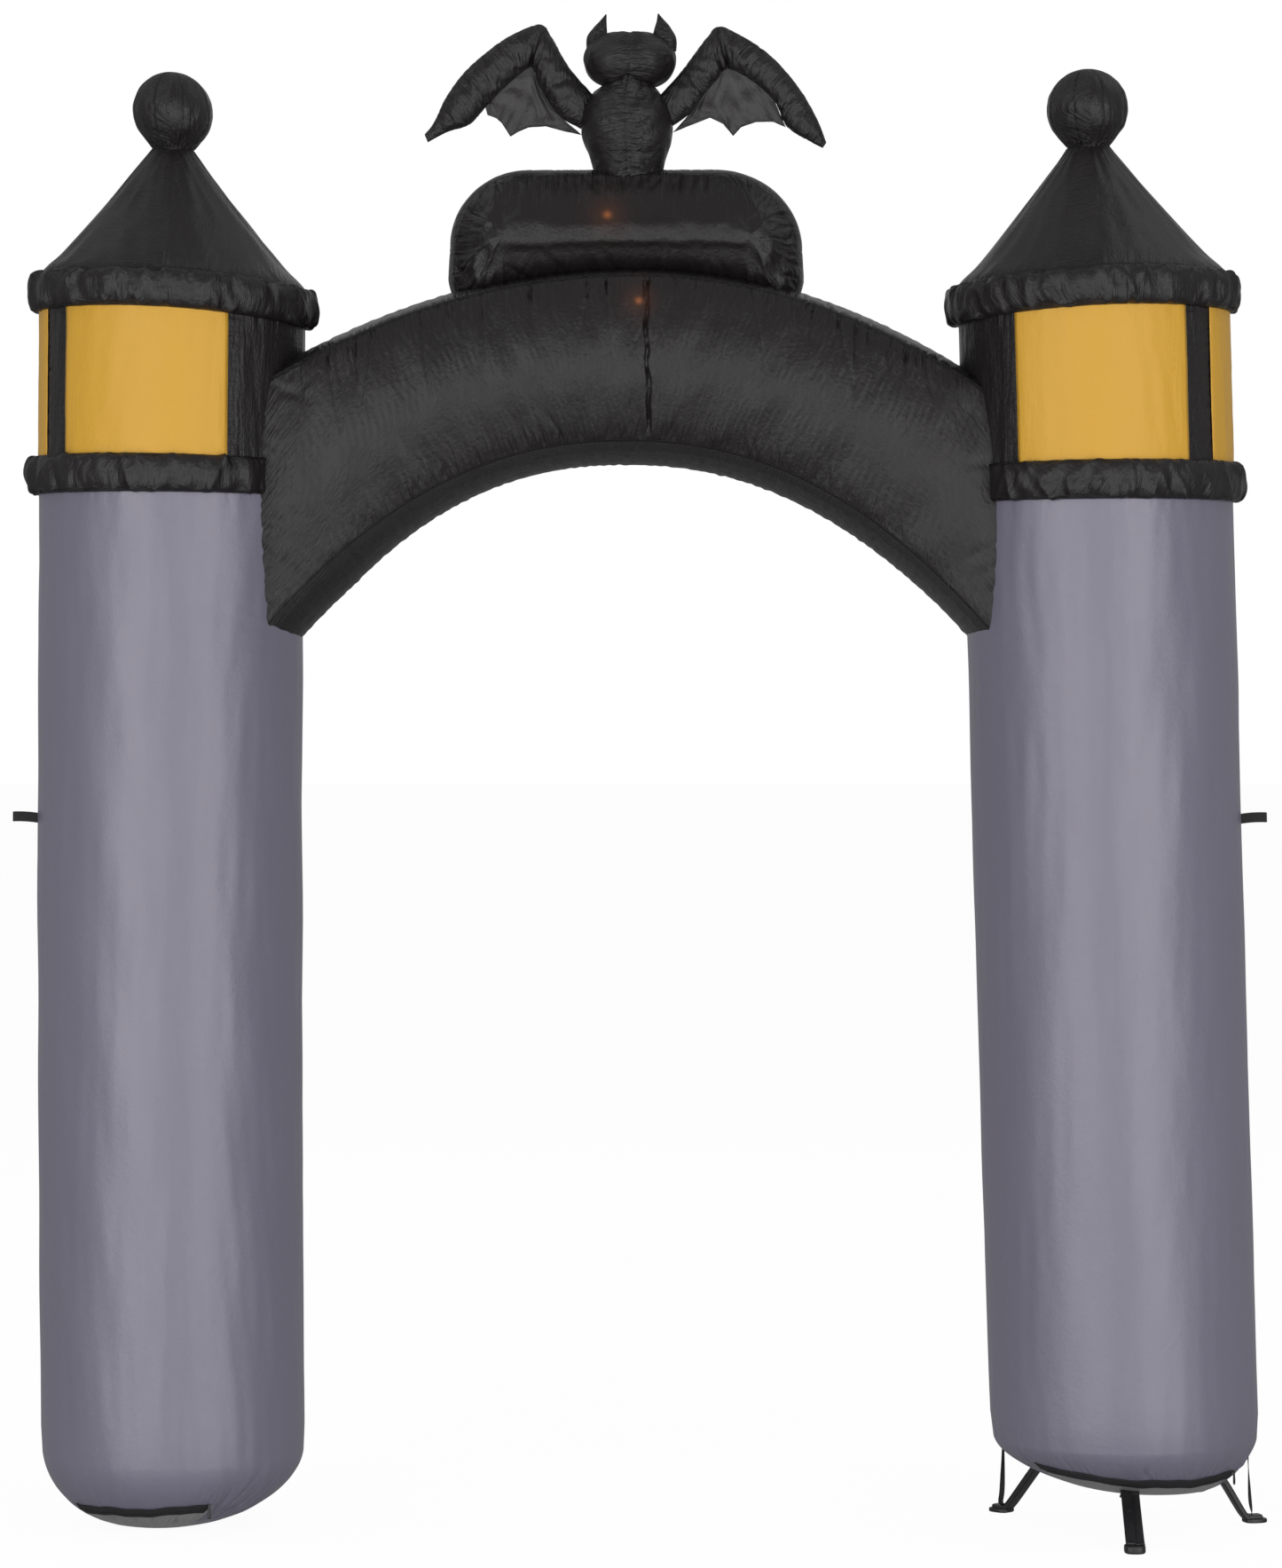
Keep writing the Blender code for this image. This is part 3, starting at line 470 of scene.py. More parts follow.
def smooth_path(points: Sequence, count: int) -> Array:
    """Runs a Catmull-Rom curve through points.

    Between two points, the curve is the cubic whose slopes are half the distance between
    the neighbours of each.

    Args:
        points: the points, of any number of coordinates.
        count: how many steps between each two.

    Returns:
        The curve's points.
    """
    known = np.asarray(points, float)
    padded = np.concatenate([2 * known[:1] - known[1:2], known, 2 * known[-1:] - known[-2:-1]])
    share = np.arange(count)[:, None] / count
    a, b, c, d = (padded[i:len(padded) - 3 + i, None, :] for i in range(4))
    curve = 0.5 * (2 * b + (c - a) * share + (2 * a - 5 * b + 4 * c - d) * share ** 2
                   + (3 * b - a - 3 * c + d) * share ** 3)
    return np.concatenate([curve.reshape(-1, known.shape[1]), known[-1:]])


def normals_of(points: Array, closed: tuple) -> Array:
    """The unit normal at each point of a grid: the cross product of its two slopes.

    Args:
        points: the grid, whose last row or column repeats the first where it is closed.
        closed: for each axis, if it is closed.

    Returns:
        The normals.
    """
    slopes = []
    for axis in (0, 1):
        if closed[axis]:
            wrapped = np.concatenate([np.take(points, [-2], axis), points,
                                      np.take(points, [1], axis)], axis)
            count = wrapped.shape[axis]
            slopes.append(np.take(wrapped, range(2, count), axis)
                          - np.take(wrapped, range(count - 2), axis))
        else:
            slopes.append(np.gradient(points, axis=axis))
    normal = np.cross(slopes[0], slopes[1])
    return normal / np.maximum(np.linalg.norm(normal, axis=-1, keepdims=True), 1e-9)


@dataclass
class Folds:
    """Creases on a surface, each a groove with raised lips that starts at a point.

    In coordinates s and t, in metres, a crease runs from (s, t) at an angle from +t towards
    +s. Across it, its height is -(1 - |q|^1.6) exp(-|q|^1.3), q being the distance over its
    width. Along it, it fades with (1 - a / length)^fade from a seam. It bends aside by bend
    times a^2 / length.
    """

    marks: Array
    loop: float = 0.0
    fade: float = 1.3

    def height(self, s: Array, t: Array) -> Array:
        """Adds up the creases' heights.

        Args:
            s: one coordinate of each point.
            t: the other.

        Returns:
            The height at each point, in metres.
        """
        total = np.zeros(np.broadcast(s, t).shape)
        for s_at, t_at, angle, length, width, depth, bend in self.marks:
            ds = s - s_at
            if self.loop:
                ds = (ds + self.loop / 2) % self.loop - self.loop / 2
            dt = t - t_at
            run = ds * math.sin(angle) + dt * math.cos(angle)
            share = run / length
            near = (share > -0.02) & (share < 1.0)
            side = ds * math.cos(angle) - dt * math.sin(angle) - bend * run * share
            spread = width * (0.65 + 0.7 * np.clip(share, 0.0, 1.0))
            q = side / spread
            near &= np.abs(q) < 4.0
            along = (1.0 - np.clip(share, 0.0, 1.0)) ** self.fade
            q = np.abs(q[near])
            total[near] -= depth * along[near] * (1 - q ** 1.6) * np.exp(-q ** 1.3)
        return total


@dataclass
class Gather:
    """How cloth is gathered along a seam: the spacing and the ranges of its creases."""

    spacing: float
    reach: tuple
    width: tuple
    depth: tuple
    slant: float = 0.15
    lean: float = 0.0

    def along(self, rng: np.random.Generator, start: float, end: float, t_at: float = 0.0,
              down: bool = False, loop: float = 0.0) -> Folds:
        """Puts creases along a seam, at uneven distances.

        Args:
            rng: the source of chance.
            start: where along s the seam starts.
            end: where it ends.
            t_at: the seam's t.
            down: if the creases run towards lower t.
            loop: the length of s where it closes on itself.

        Returns:
            The creases.
        """
        count = max(1, round((end - start) / self.spacing))
        place = start + (np.arange(count) + rng.uniform(-0.45, 0.45, count) + 0.5) * self.spacing
        angle = rng.normal(self.lean, self.slant, count) + (math.pi if down else 0.0)
        chance = rng.random((4, count))
        pick = [low + (high - low) * share ** 1.6
                for (low, high), share in zip((self.reach, self.width, self.depth), chance)]
        marks = [place, np.full(count, t_at), angle, *pick, (chance[3] - 0.5) * 0.5]
        return Folds(np.stack(marks, axis=1), loop)


def ripple(rng: np.random.Generator, s: Array, t: Array, wave_s: float, wave_t: float,
           loop: float = 0.0, count: int = 14) -> Array:
    """Soft uneven waves: a sum of cosines of random length and phase.

    Args:
        rng: the source of chance.
        s: one coordinate of each point.
        t: the other.
        wave_s: the usual wavelength along s.
        wave_t: the usual wavelength along t.
        loop: the length of s where it closes on itself.
        count: how many waves.

    Returns:
        Heights of about -1 to 1.
    """
    total = np.zeros(np.broadcast(s, t).shape)
    for _ in range(count):
        rate_s = rng.uniform(0.5, 1.6) / wave_s * rng.choice((-1, 1))
        rate_t = rng.uniform(-1.4, 1.4) / wave_t
        if loop:
            rate_s = round(rate_s * loop) / loop
        total += np.cos(math.tau * (s * rate_s + t * rate_t + rng.random()))
    return total / math.sqrt(count)


@dataclass
class Surface:
    """A grid of points that becomes a mesh, with its UV map and its distance from a seam."""

    points: Array
    closed: tuple = (False, False)
    uv: Optional[Array] = None
    seam: Optional[Array] = None
    zone: Optional[Array] = None

    def raised(self, height: Array, outward: Optional[Array] = None) -> "Surface":
        """Adds a height along the normals.

        Args:
            height: the height at each point.
            outward: a direction that the normals are turned to agree with.

        Returns:
            The raised surface.
        """
        normal = normals_of(self.points, self.closed)
        if outward is not None:
            normal *= np.where(np.sum(normal * outward, -1, keepdims=True) < 0, -1.0, 1.0)
        moved = self.points + normal * height[..., None]
        return Surface(moved, self.closed, self.uv, self.seam, self.zone)

    def mesh(self, name: str) -> bpy.types.Mesh:
        """Makes the mesh: a quad between each four neighbours, doubles merged, faces outwards.

        Args:
            name: the mesh's name.

        Returns:
            The mesh.
        """
        rows, columns = self.points.shape[:2]
        uv = self.uv
        if uv is None:
            uv = np.stack([lengths(self.points, 0), lengths(self.points, 1)], axis=-1)
        index = np.arange(rows * columns).reshape(rows, columns)
        quads = np.stack([index[:-1, :-1], index[1:, :-1], index[1:, 1:], index[:-1, 1:]], axis=-1)
        corners = quads.reshape(-1)
        mesh = bpy.data.meshes.new(name)
        mesh.vertices.add(rows * columns)
        mesh.vertices.foreach_set("co", self.points.astype(np.float32).ravel())
        mesh.loops.add(len(corners))
        mesh.loops.foreach_set("vertex_index", corners.astype(np.int32))
        mesh.polygons.add(len(corners) // 4)
        mesh.polygons.foreach_set("loop_start", np.arange(0, len(corners), 4, dtype=np.int32))
        mesh.uv_layers.new(name=UV_NAME).data.foreach_set(
            "uv", uv.reshape(-1, 2)[corners].astype(np.float32).ravel())
        for label, values in ((SEAM_NAME, self.seam), (ZONE_NAME, self.zone)):
            if values is not None:
                layer = mesh.attributes.new(label, "FLOAT", "POINT")
                layer.data.foreach_set("value", values.astype(np.float32).ravel())
        mesh.update(calc_edges=True)
        shape = bmesh.new()
        shape.from_mesh(mesh)
        bmesh.ops.remove_doubles(shape, verts=shape.verts, dist=WELD)
        bmesh.ops.dissolve_degenerate(shape, edges=shape.edges, dist=WELD)
        bmesh.ops.recalc_face_normals(shape, faces=shape.faces)
        shape.to_mesh(mesh)
        shape.free()
        mesh.shade_smooth()
        return mesh


class Form(Enum):
    """What kind of piece a piece is, which is logged when it is added."""

    PAD = "padded"
    SHEET = "sheet"
    HARD = "hard"


class Workshop:
    """Makes the finishes once, and adds each finished piece to the scene."""

    # Where the glow of the lamps inside is painted on the black cloth: on the header and on the arch.
    PAINTED_LAMP_GLOWS = (Lamp(-0.0668, 2.630, 0.034, 0.20), Lamp(-0.0045, 2.4565, 0.030, 0.20))

    def __init__(self) -> None:
        """Builds the finishes."""
        finishes = {
            "grey_cloth": Cloth("grey_cloth", Hue.GREY, Hue.GREY, Hue.THREAD_GREY, 0.34, 0.80,
                                mottle=0.4, crinkle=0.0008, gather=0.0028, panel=Hue.GREY_BASE),
            # The black cloth carries the painted lamp glow.
            "black_cloth": Cloth("black_cloth", Hue.BLACK, Hue.BLACK_WARM, Hue.THREAD_BLACK,
                                 0.38, 0.38, crinkle=0.0026, gather=0.0070, lamps=self.PAINTED_LAMP_GLOWS),
            "yellow_cloth": Cloth("yellow_cloth", Hue.YELLOW, Hue.YELLOW, Hue.THREAD_YELLOW,
                                  0.42, 0.30, mottle=0.5, crinkle=0.0008, gather=0.0014),
            "web_cloth": Cloth("web_cloth", Hue.WEB, Hue.BLACK_WARM, Hue.THREAD_BLACK,
                               0.42, 0.46, crinkle=0.0020, gather=0.0020),
            "webbing": Webbing("webbing", Hue.STRAP),
            "stitched_webbing": Webbing("stitched_webbing", Hue.STRAP, stitched=True),
            "zip_tape": Webbing("zip_tape", Hue.STRAP, rib=0.0012, roughness=0.7),
            "plastic": Moulded("plastic", Hue.STRAP),
        }
        self.finishes = {name: finish.make() for name, finish in finishes.items()}

    def add(self, name: str, mesh: bpy.types.Mesh, finish: str, slot: str,
            nodes: Sequence[str] = (), form: Form = Form.HARD, fill: float = 0.9,
            flat: tuple = (0.1, 0.1), area: Optional[float] = None,
            thickness: float = 0.0) -> bpy.types.Object:
        """Adds a piece that rides on the archway.

        Args:
            name: the piece's name.
            mesh: its mesh, in place.
            finish: the name of its finish.
            slot: the record's material slot; not used.
            nodes: the nodes that it stands for.
            form: what kind of piece it is, which is only logged.
            fill: how full a padded piece is; not used.
            flat: the width and length that a sheet was cut to; not used.
            area: a sheet's flat area where it is no rectangle; not used.
            thickness: a wall's thickness, where the mesh has none.

        Returns:
            The piece.
        """
        piece = bpy.data.objects.new(name, mesh)
        bpy.context.scene.collection.objects.link(piece)
        mesh.materials.append(self.finishes[finish])
        if thickness > 0.0:
            wall = piece.modifiers.new("wall", "SOLIDIFY")
            wall.thickness = thickness
            wall.offset = 0.0
        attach(piece, "root")
        if nodes:
            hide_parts(*nodes)
        LOG.info("%s: %d faces, %s", name, len(mesh.polygons), form.value)
        return piece


@dataclass(frozen=True)
class Inflation:
    """A cloth simulation that blows a sewn piece up a little, its seams held where they are.

    The cloth is cut larger than its form by the slack, so that it wrinkles between the seams.
    """

    pressure: float = 3.0
    slack: float = 0.03
    frames: int = 10
    most: float = 0.008
    held: float = 0.002
    stiffness: float = 12.0

    def blow(self, piece: bpy.types.Object) -> None:
        """Runs the simulation and keeps its result as the piece's mesh.

        Each point moves as the cloth does, by at most the cap, and eases off towards the
        seams.

        Args:
            piece: the piece, whose mesh carries the distance from a seam.
        """
        mesh = piece.data
        count = len(mesh.vertices)
        seam, start, end = np.empty(count), np.empty(count * 3), np.empty(count * 3)
        mesh.attributes[SEAM_NAME].data.foreach_get("value", seam)
        mesh.vertices.foreach_get("co", start)
        pins = piece.vertex_groups.new(name="held")
        pins.add(np.flatnonzero(seam < self.held).tolist(), 1.0, "REPLACE")
        cloth = piece.modifiers.new("inflation", "CLOTH")
        settings = cloth.settings
        settings.quality = 4
        settings.mass = 0.08
        settings.tension_stiffness = settings.compression_stiffness = self.stiffness
        settings.shear_stiffness = self.stiffness / 3
        settings.bending_stiffness = 0.02
        settings.use_pressure = True
        settings.uniform_pressure_force = self.pressure
        settings.shrink_min = -self.slack
        settings.vertex_group_mass = pins.name
        settings.effector_weights.gravity = 0.0
        cloth.collision_settings.use_collision = False
        cloth.point_cache.frame_end = self.frames
        scene = bpy.context.scene
        for frame in range(1, self.frames + 1):
            scene.frame_set(frame)
        blown = piece.evaluated_get(bpy.context.evaluated_depsgraph_get()).data
        blown.vertices.foreach_get("co", end)
        move = (end - start).reshape(-1, 3)
        far = np.linalg.norm(move, axis=1)
        LOG.info("%s moved by up to %.4f m", piece.name, float(far.max()))
        share = smooth(seam / 0.006) * self.most * np.tanh(far / self.most) / np.maximum(far, 1e-9)
        mesh.vertices.foreach_set("co", (start.reshape(-1, 3) + move * share[:, None]).ravel())
        piece.modifiers.remove(cloth)
        piece.vertex_groups.remove(pins)
        scene.frame_set(1)
        mesh.update()


# Towers


@dataclass
class Tower:
    """A tower: a grey shaft, a black drum with windows, two gathered rings, a roof, a ball."""

    side: str
    x: float
    y: float
    girth: float
    lean: float
    bow: float
    tilt: float
    foot_shift: float
    foot_z: float
    foot_r: float
    foot_round: float
    foot_power: float
    ring_z: tuple
    windows: tuple
    zip_deg: tuple
    zip_z: tuple
    arch_side: int
    seam_x: float
    joint_z: float
    seed: int

    radius: float = 0.267
    drum_z: float = 2.106
    eave_z: float = 2.466
    upper_ring_z: tuple = (2.428, 2.505)
    neck_z: float = 2.7695
    neck_r: float = 0.0415
    ball_r: float = 0.0805
    ball_z: float = 2.847
    window_z: tuple = (2.118, 2.448)
    tilt_z: tuple = (1.95, 2.45)
    saddle: float = 0.013
    bow_top: float = 2.40
    ring_bulge: float = 0.0255
    ring_root: float = 0.004
    foot_soft: float = 0.24
    rng: np.random.Generator = field(init=False)

    def __post_init__(self) -> None:
        """Starts the tower's own source of chance."""
        self.rng = np.random.default_rng(self.seed)

    @property
    def around(self) -> float:
        """The tower's girth, in metres."""
        return math.tau * self.radius

    def settled(self, points: Array, foot: bool = True) -> Array:
        """Moves points made round the Z axis to where the tower stands, leans and tilts.

        The middle moves by x + lean z + a sine bow, and by the foot's shift times the square
        of how far down the foot a point is. The top rises by tilt x + saddle (y / radius)^2.

        Args:
            points: the points, round the Z axis.
            foot: if the foot's shift counts.

        Returns:
            The points, in place.
        """
        x, y, z = np.moveaxis(points, -1, 0)
        low = np.clip((z - self.foot_z) / self.foot_round, 0.0, 1.0)
        bow = self.bow * np.sin(math.pi * np.clip(z / self.bow_top, 0.0, 1.0))
        middle = self.x + self.lean * z + bow + self.foot_shift * (1 - low) ** 2 * foot
        upper = smooth((z - self.tilt_z[0]) / (self.tilt_z[1] - self.tilt_z[0]))
        lift = upper * (self.tilt * x + self.saddle * (y / self.radius) ** 2)
        return np.stack([x * self.girth + middle, y * self.girth + self.y, z + lift], axis=-1)

    def wall(self, s: Array, radius: Array, z: Array) -> Array:
        """Points round the Z axis: s is the distance round from -Y towards +X."""
        angle = s / self.radius
        s, radius, z = np.broadcast_arrays(angle, radius, z)
        return np.stack([radius * np.sin(s), -radius * np.cos(s), z], axis=-1)

    def foot_radius(self, z: Array) -> Array:
        """The radius at a height, drawn in to a flat foot by a superellipse.

        Its start is softened: how far down it a point is, d, becomes (d + sqrt(d^2 + w^2)) / 2.

        Args:
            z: the heights.

        Returns:
            The radii.
        """
        soft = self.foot_soft ** 2
        down = 1 - (z - self.foot_z) / self.foot_round
        down = (down + np.sqrt(down * down + soft)) / (1 + math.sqrt(1 + soft))
        share = (1 - np.minimum(down, 1.0) ** self.foot_power) ** (1 / self.foot_power)
        return self.foot_r + (self.radius - self.foot_r) * share

    def zip_height(self, s: Array) -> Array:
        """The height of the zip's middle: a parabola through its two ends and its lowest."""
        start, end = (math.radians(d) * self.radius for d in self.zip_deg)
        u = (s - start) / (end - start)
        first, middle, last = self.zip_z
        return (first * (1 - u) * (1 - 2 * u) + middle * 4 * u * (1 - u)
                + last * u * (2 * u - 1))

    def shaft(self, shop: Workshop) -> None:
        """The shaft: a tube whose foot is a superellipse, with creases at both ends.

        Args:
            shop: what adds the piece.
        """
        rises = np.concatenate([np.linspace(0, 0.12, 8)[:-1], np.linspace(0.12, 1.0, 24)])
        foot = self.foot_z + self.foot_round * rises
        joint = (self.joint_z - 0.10, self.joint_z + 0.10)
        z = np.concatenate([foot[:-1], np.linspace(foot[-1], joint[0], 30)[:-1],
                            np.linspace(*joint, 20)[:-1], np.linspace(joint[1], self.drum_z, 14)])
        s = np.linspace(0.0, self.around, 481)[:, None]
        grid_s, grid_z = np.broadcast_arrays(s, z[None, :])
        loop = self.around
        height = 0.00034 * ripple(self.rng, s, z, 0.060, 0.30, loop)
        height = height + 0.0010 * ripple(self.rng, s, z, 0.24, 0.45, loop)
        rise = grid_z - self.foot_z
        top = Gather(0.026, (0.02, 0.09), (0.004, 0.008), (0.0006, 0.0018))
        height += top.along(self.rng, 0, loop, self.drum_z - 0.012, True, loop).height(s, z)
        base = Gather(0.020, (0.03, 0.10), (0.004, 0.008), (0.0014, 0.0050), 0.45)
        low = base.along(self.rng, 0, loop, self.foot_z + 0.03, False, loop).height(s, z)
        height += low * smooth(rise / 0.03)
        height += self.corner_folds().height(s, z)
        fan = Gather(0.015, (0.05, 0.12), (0.0045, 0.0075), (0.0040, 0.0090), 0.20, lean=0.45)
        end_s = math.radians(self.zip_deg[1]) * self.radius
        marks = fan.along(self.rng, end_s + 0.012, end_s + 0.11, self.foot_z + 0.050).marks
        height += Folds(marks, loop).height(s, z) * smooth(rise / 0.03)
        pucker = Gather(0.012, (0.015, 0.045), (0.0035, 0.0060), (0.0010, 0.0030), 0.25)
        start_s = math.radians(self.zip_deg[0]) * self.radius
        marks = pucker.along(self.rng, start_s, end_s).marks
        marks[:, 1] = self.zip_height(marks[:, 0]) + 0.010
        height += Folds(marks, loop).height(s, z)
        wrapped = (grid_s + loop / 2) % loop - loop / 2
        start, end = (math.radians(d) * self.radius for d in self.zip_deg)
        inside = (wrapped > start - 0.02) & (wrapped < end + 0.02)
        above = grid_z - self.zip_height(wrapped)
        near = smooth((np.abs(above) - 0.008) / 0.010)
        height *= smooth(rise / 0.02) * np.where(inside, near, 1.0)
        points = self.wall(grid_s, self.foot_radius(grid_z), grid_z)
        surface = Surface(points, (True, False), np.stack([grid_s, grid_z], axis=-1))
        surface = surface.raised(height)
        middle = np.broadcast_to(points[:, :1].mean(axis=0), points[:, :1].shape)
        surface.points = self.settled(np.concatenate([middle, surface.points], axis=1))
        zone = np.clip(0.5 - np.where(inside, above, 0.05) * 40.0, 0.0, 1.0)
        surface.zone = np.concatenate([zone[:, :1], zone], axis=1)
        surface.uv = np.stack([np.concatenate([grid_s[:, :1], grid_s], axis=1),
                               np.concatenate([grid_z[:, :1], grid_z], axis=1)], axis=-1)
        edge = np.minimum(np.where(inside, np.abs(above), 0.09) + 0.008, rise + 0.03)
        surface.seam = np.concatenate([edge[:, :1], edge], axis=1)
        mesh = surface.mesh(f"{self.side}_shaft")
        shop.add(f"{self.side}_shaft", mesh, "grey_cloth", "grey_cloth",
                 [f"{self.side}_tower"], Form.PAD, 0.95)

    def corner_folds(self) -> Folds:
        """The creases that run from the arch's lower corner across the shaft.

        Returns:
            The creases.
        """
        marks = []
        for face in (-1, 1):
            corner = self.arch_side * (0.93 if face < 0 else math.pi - 0.93) * self.radius
            for drop, angle, length, depth in ((0.0, 80, 0.16, 0.0030), (0.018, 72, 0.11, 0.0020),
                                               (-0.03, 88, 0.09, 0.0018), (0.03, 60, 0.06, 0.0012)):
                away = -self.arch_side * face * -1
                turn = math.radians(angle) * away
                marks.append((corner, self.joint_z + drop, turn, length, 0.010, depth, 0.10))
        return Folds(np.array(marks), self.around)

    def drum_height(self, s: Array, z: Array) -> Array:
        """The drum's soft unevenness and the creases along its two sewn edges.

        Args:
            s: the distance round.
            z: the height.

        Returns:
            The height above the plain cylinder.
        """
        rng = np.random.default_rng(self.seed + 7)
        low, high = self.drum_z, self.eave_z
        height = 0.0006 * ripple(rng, s, z, 0.06, 0.30, self.around)
        puckers = Gather(0.015, (0.012, 0.060), (0.0040, 0.0070), (0.0006, 0.0020), 0.25)
        height = height + puckers.along(rng, 0, self.around, high - 0.03, True, self.around).height(s, z)
        height += puckers.along(rng, 0, self.around, low + 0.03, False, self.around).height(s, z)
        return height

    def drum(self, shop: Workshop) -> None:
        """The drum: a cylinder with small creases beside the windows.

        Args:
            shop: what adds the piece.
        """
        s = np.linspace(0.0, self.around, 301)[:, None]
        z = np.linspace(self.drum_z, self.eave_z, 50)[None, :]
        grid_s, grid_z = np.broadcast_arrays(s, z)
        height = self.drum_height(s, z)
        edge = np.minimum(0.05, np.minimum(grid_z - self.drum_z, self.eave_z - grid_z) - 0.02)
        edge = np.maximum(edge, 0.008)
        zone = np.zeros(grid_s.shape)
        for start, end in self.windows:
            for side, degrees in ((-1, start), (1, end)):
                at = math.radians(degrees) * self.radius
                away = ((grid_s - at + self.around / 2) % self.around - self.around / 2) * side
                inside = (away > 0) & (grid_z > self.window_z[0]) & (grid_z < self.window_z[1])
                edge = np.where(inside, np.minimum(edge, away), edge)
                zone = np.where(inside, np.maximum(zone, np.exp(-away / 0.022)), zone)
                gather = Gather(0.013, (0.015, 0.055), (0.0045, 0.0075), (0.0010, 0.0030), 0.2,
                                lean=math.pi / 2 * side)
                marks = gather.along(self.rng, *self.window_z).marks
                marks[:, [0, 1]] = np.stack([np.full(len(marks), at + 0.002 * side), marks[:, 0]], 1)
                height += Folds(marks, self.around).height(grid_s, grid_z)
        surface = Surface(self.wall(grid_s, self.radius, grid_z), (True, False),
                          np.stack([grid_s, grid_z], axis=-1), edge, zone)
        surface = surface.raised(height)
        surface.points = self.settled(surface.points)
        shop.add(f"{self.side}_drum_cloth", surface.mesh("drum"), "black_cloth", "black_cloth",
                 [f"{self.side}_drum"], Form.PAD, 0.95)

    def window_panes(self, shop: Workshop) -> None:
        """The windows: panels on the drum's own surface, each with a stitched hem.

        Args:
            shop: what adds the pieces.
        """
        for name, (start, end) in zip(("back", "side", "front"), self.windows):
            first, last = math.radians(start) * self.radius, math.radians(end) * self.radius
            low, high = self.window_z
            s = np.linspace(first, last, 2 + round((last - first) / 0.008))[:, None]
            z = np.linspace(low, high, 54)[None, :]
            grid_s, grid_z = np.broadcast_arrays(s, z)
            edge = np.minimum(np.minimum(grid_s - first, last - grid_s),
                              np.minimum(grid_z - low, high - grid_z))
            rng = np.random.default_rng(self.seed + 31)
            height = self.drum_height(s, z) * 0.8 + 0.00022 * ripple(rng, s, z, 0.014, 0.06)
            height += 0.0016 + 0.0010 * smooth(edge / 0.010)
            surface = Surface(self.wall(grid_s, self.radius + height, grid_z), (False, False),
                              np.stack([grid_s, grid_z], axis=-1), edge)
            surface.points = self.settled(surface.points)
            shop.add(f"{self.side}_pane_{name}", surface.mesh("pane"), "yellow_cloth",
                     "yellow_cloth", [f"{self.side}_window_{name}"], Form.SHEET,
                     flat=(last - first, high - low), thickness=0.0008)

    def ring(self, shop: Workshop, label: str, low: float, high: float) -> None:
        """A gathered ring: a half-round tube drawn up by creases from its two seams.

        Round the section runs the angle from the top seam over the bulge to the bottom seam.
        The lower ring's two ends are drawn in to the wall where the arch is sewn on.

        Args:
            shop: what adds the piece.
            label: "upper" or "lower".
            low: the height of its bottom seam.
            high: the height of its top seam.
        """
        rng = np.random.default_rng(self.seed + (3 if label == "upper" else 4))
        loop = self.around
        s = np.linspace(0.0, loop, 501)[:, None]
        angle = np.linspace(-math.pi / 2, math.pi / 2, 31)[None, :]
        middle, half = (low + high) / 2, (high - low) / 2
        t = (angle + math.pi / 2) / math.pi * (math.pi * 0.031)
        span = float(t.max())
        bulge = self.ring_bulge * (1 + 0.08 * ripple(rng, s, t * 0, 0.085, 1.0, loop, 8))
        out = self.ring_root + (bulge - self.ring_root) * np.cos(angle) ** 0.8
        sway = 0.0022 * ripple(rng, s, t * 0, 0.10, 1.0, loop, 6)
        z = middle - half * np.sin(angle) + sway * np.cos(angle)
        deep = Gather(0.042, (0.05, 0.120), (0.0100, 0.0170), (0.0050, 0.0110), 0.65)
        small = Gather(0.024, (0.02, 0.080), (0.0045, 0.0080), (0.0020, 0.0055), 0.85)
        height = np.zeros(np.broadcast(s, t).shape)
        for gather in (deep, small):
            height += gather.along(rng, 0, loop, 0.0, False, loop).height(s, t)
            height += gather.along(rng, 0, loop, span, True, loop).height(s, t)
        height += 0.0018 * ripple(rng, s, t, 0.055, 0.07, loop, 18)
        height *= smooth(np.minimum(t, span - t) / 0.022) * 0.94 + 0.06
        out, z, height = np.broadcast_arrays(out, z, height)
        points = self.wall(s, self.radius + out, z)
        raised = Surface(points, (True, False)).raised(height).points
        if label == "lower":
            reach = np.hypot(raised[..., 0], raised[..., 1])
            away = (self.seam_x + 0.012 - raised[..., 0] * self.arch_side) / 0.045
            drawn = 0.10 + 0.90 * np.sqrt(np.clip(away, 0.0, 1.0))
            raised[..., :2] *= ((self.radius + (reach - self.radius) * drawn) / reach)[..., None]
        inner = self.wall(s, np.full(2, self.radius - 0.004), np.array([middle + half, middle - half]))
        points = np.concatenate([inner[:, :1], raised, inner[:, 1:], inner[:, :1]], axis=1)
        surface = Surface(self.settled(points), (True, True))
        seam = np.minimum(t, span - t) + np.zeros_like(height)
        surface.seam = np.concatenate([seam[:, :1], seam, seam[:, :1], seam[:, :1]], axis=1)
        shop.add(f"{self.side}_{label}_gather", surface.mesh("gather"), "black_cloth",
                 "black_cloth", [f"{self.side}_{label}_ring"], Form.PAD, 0.6)

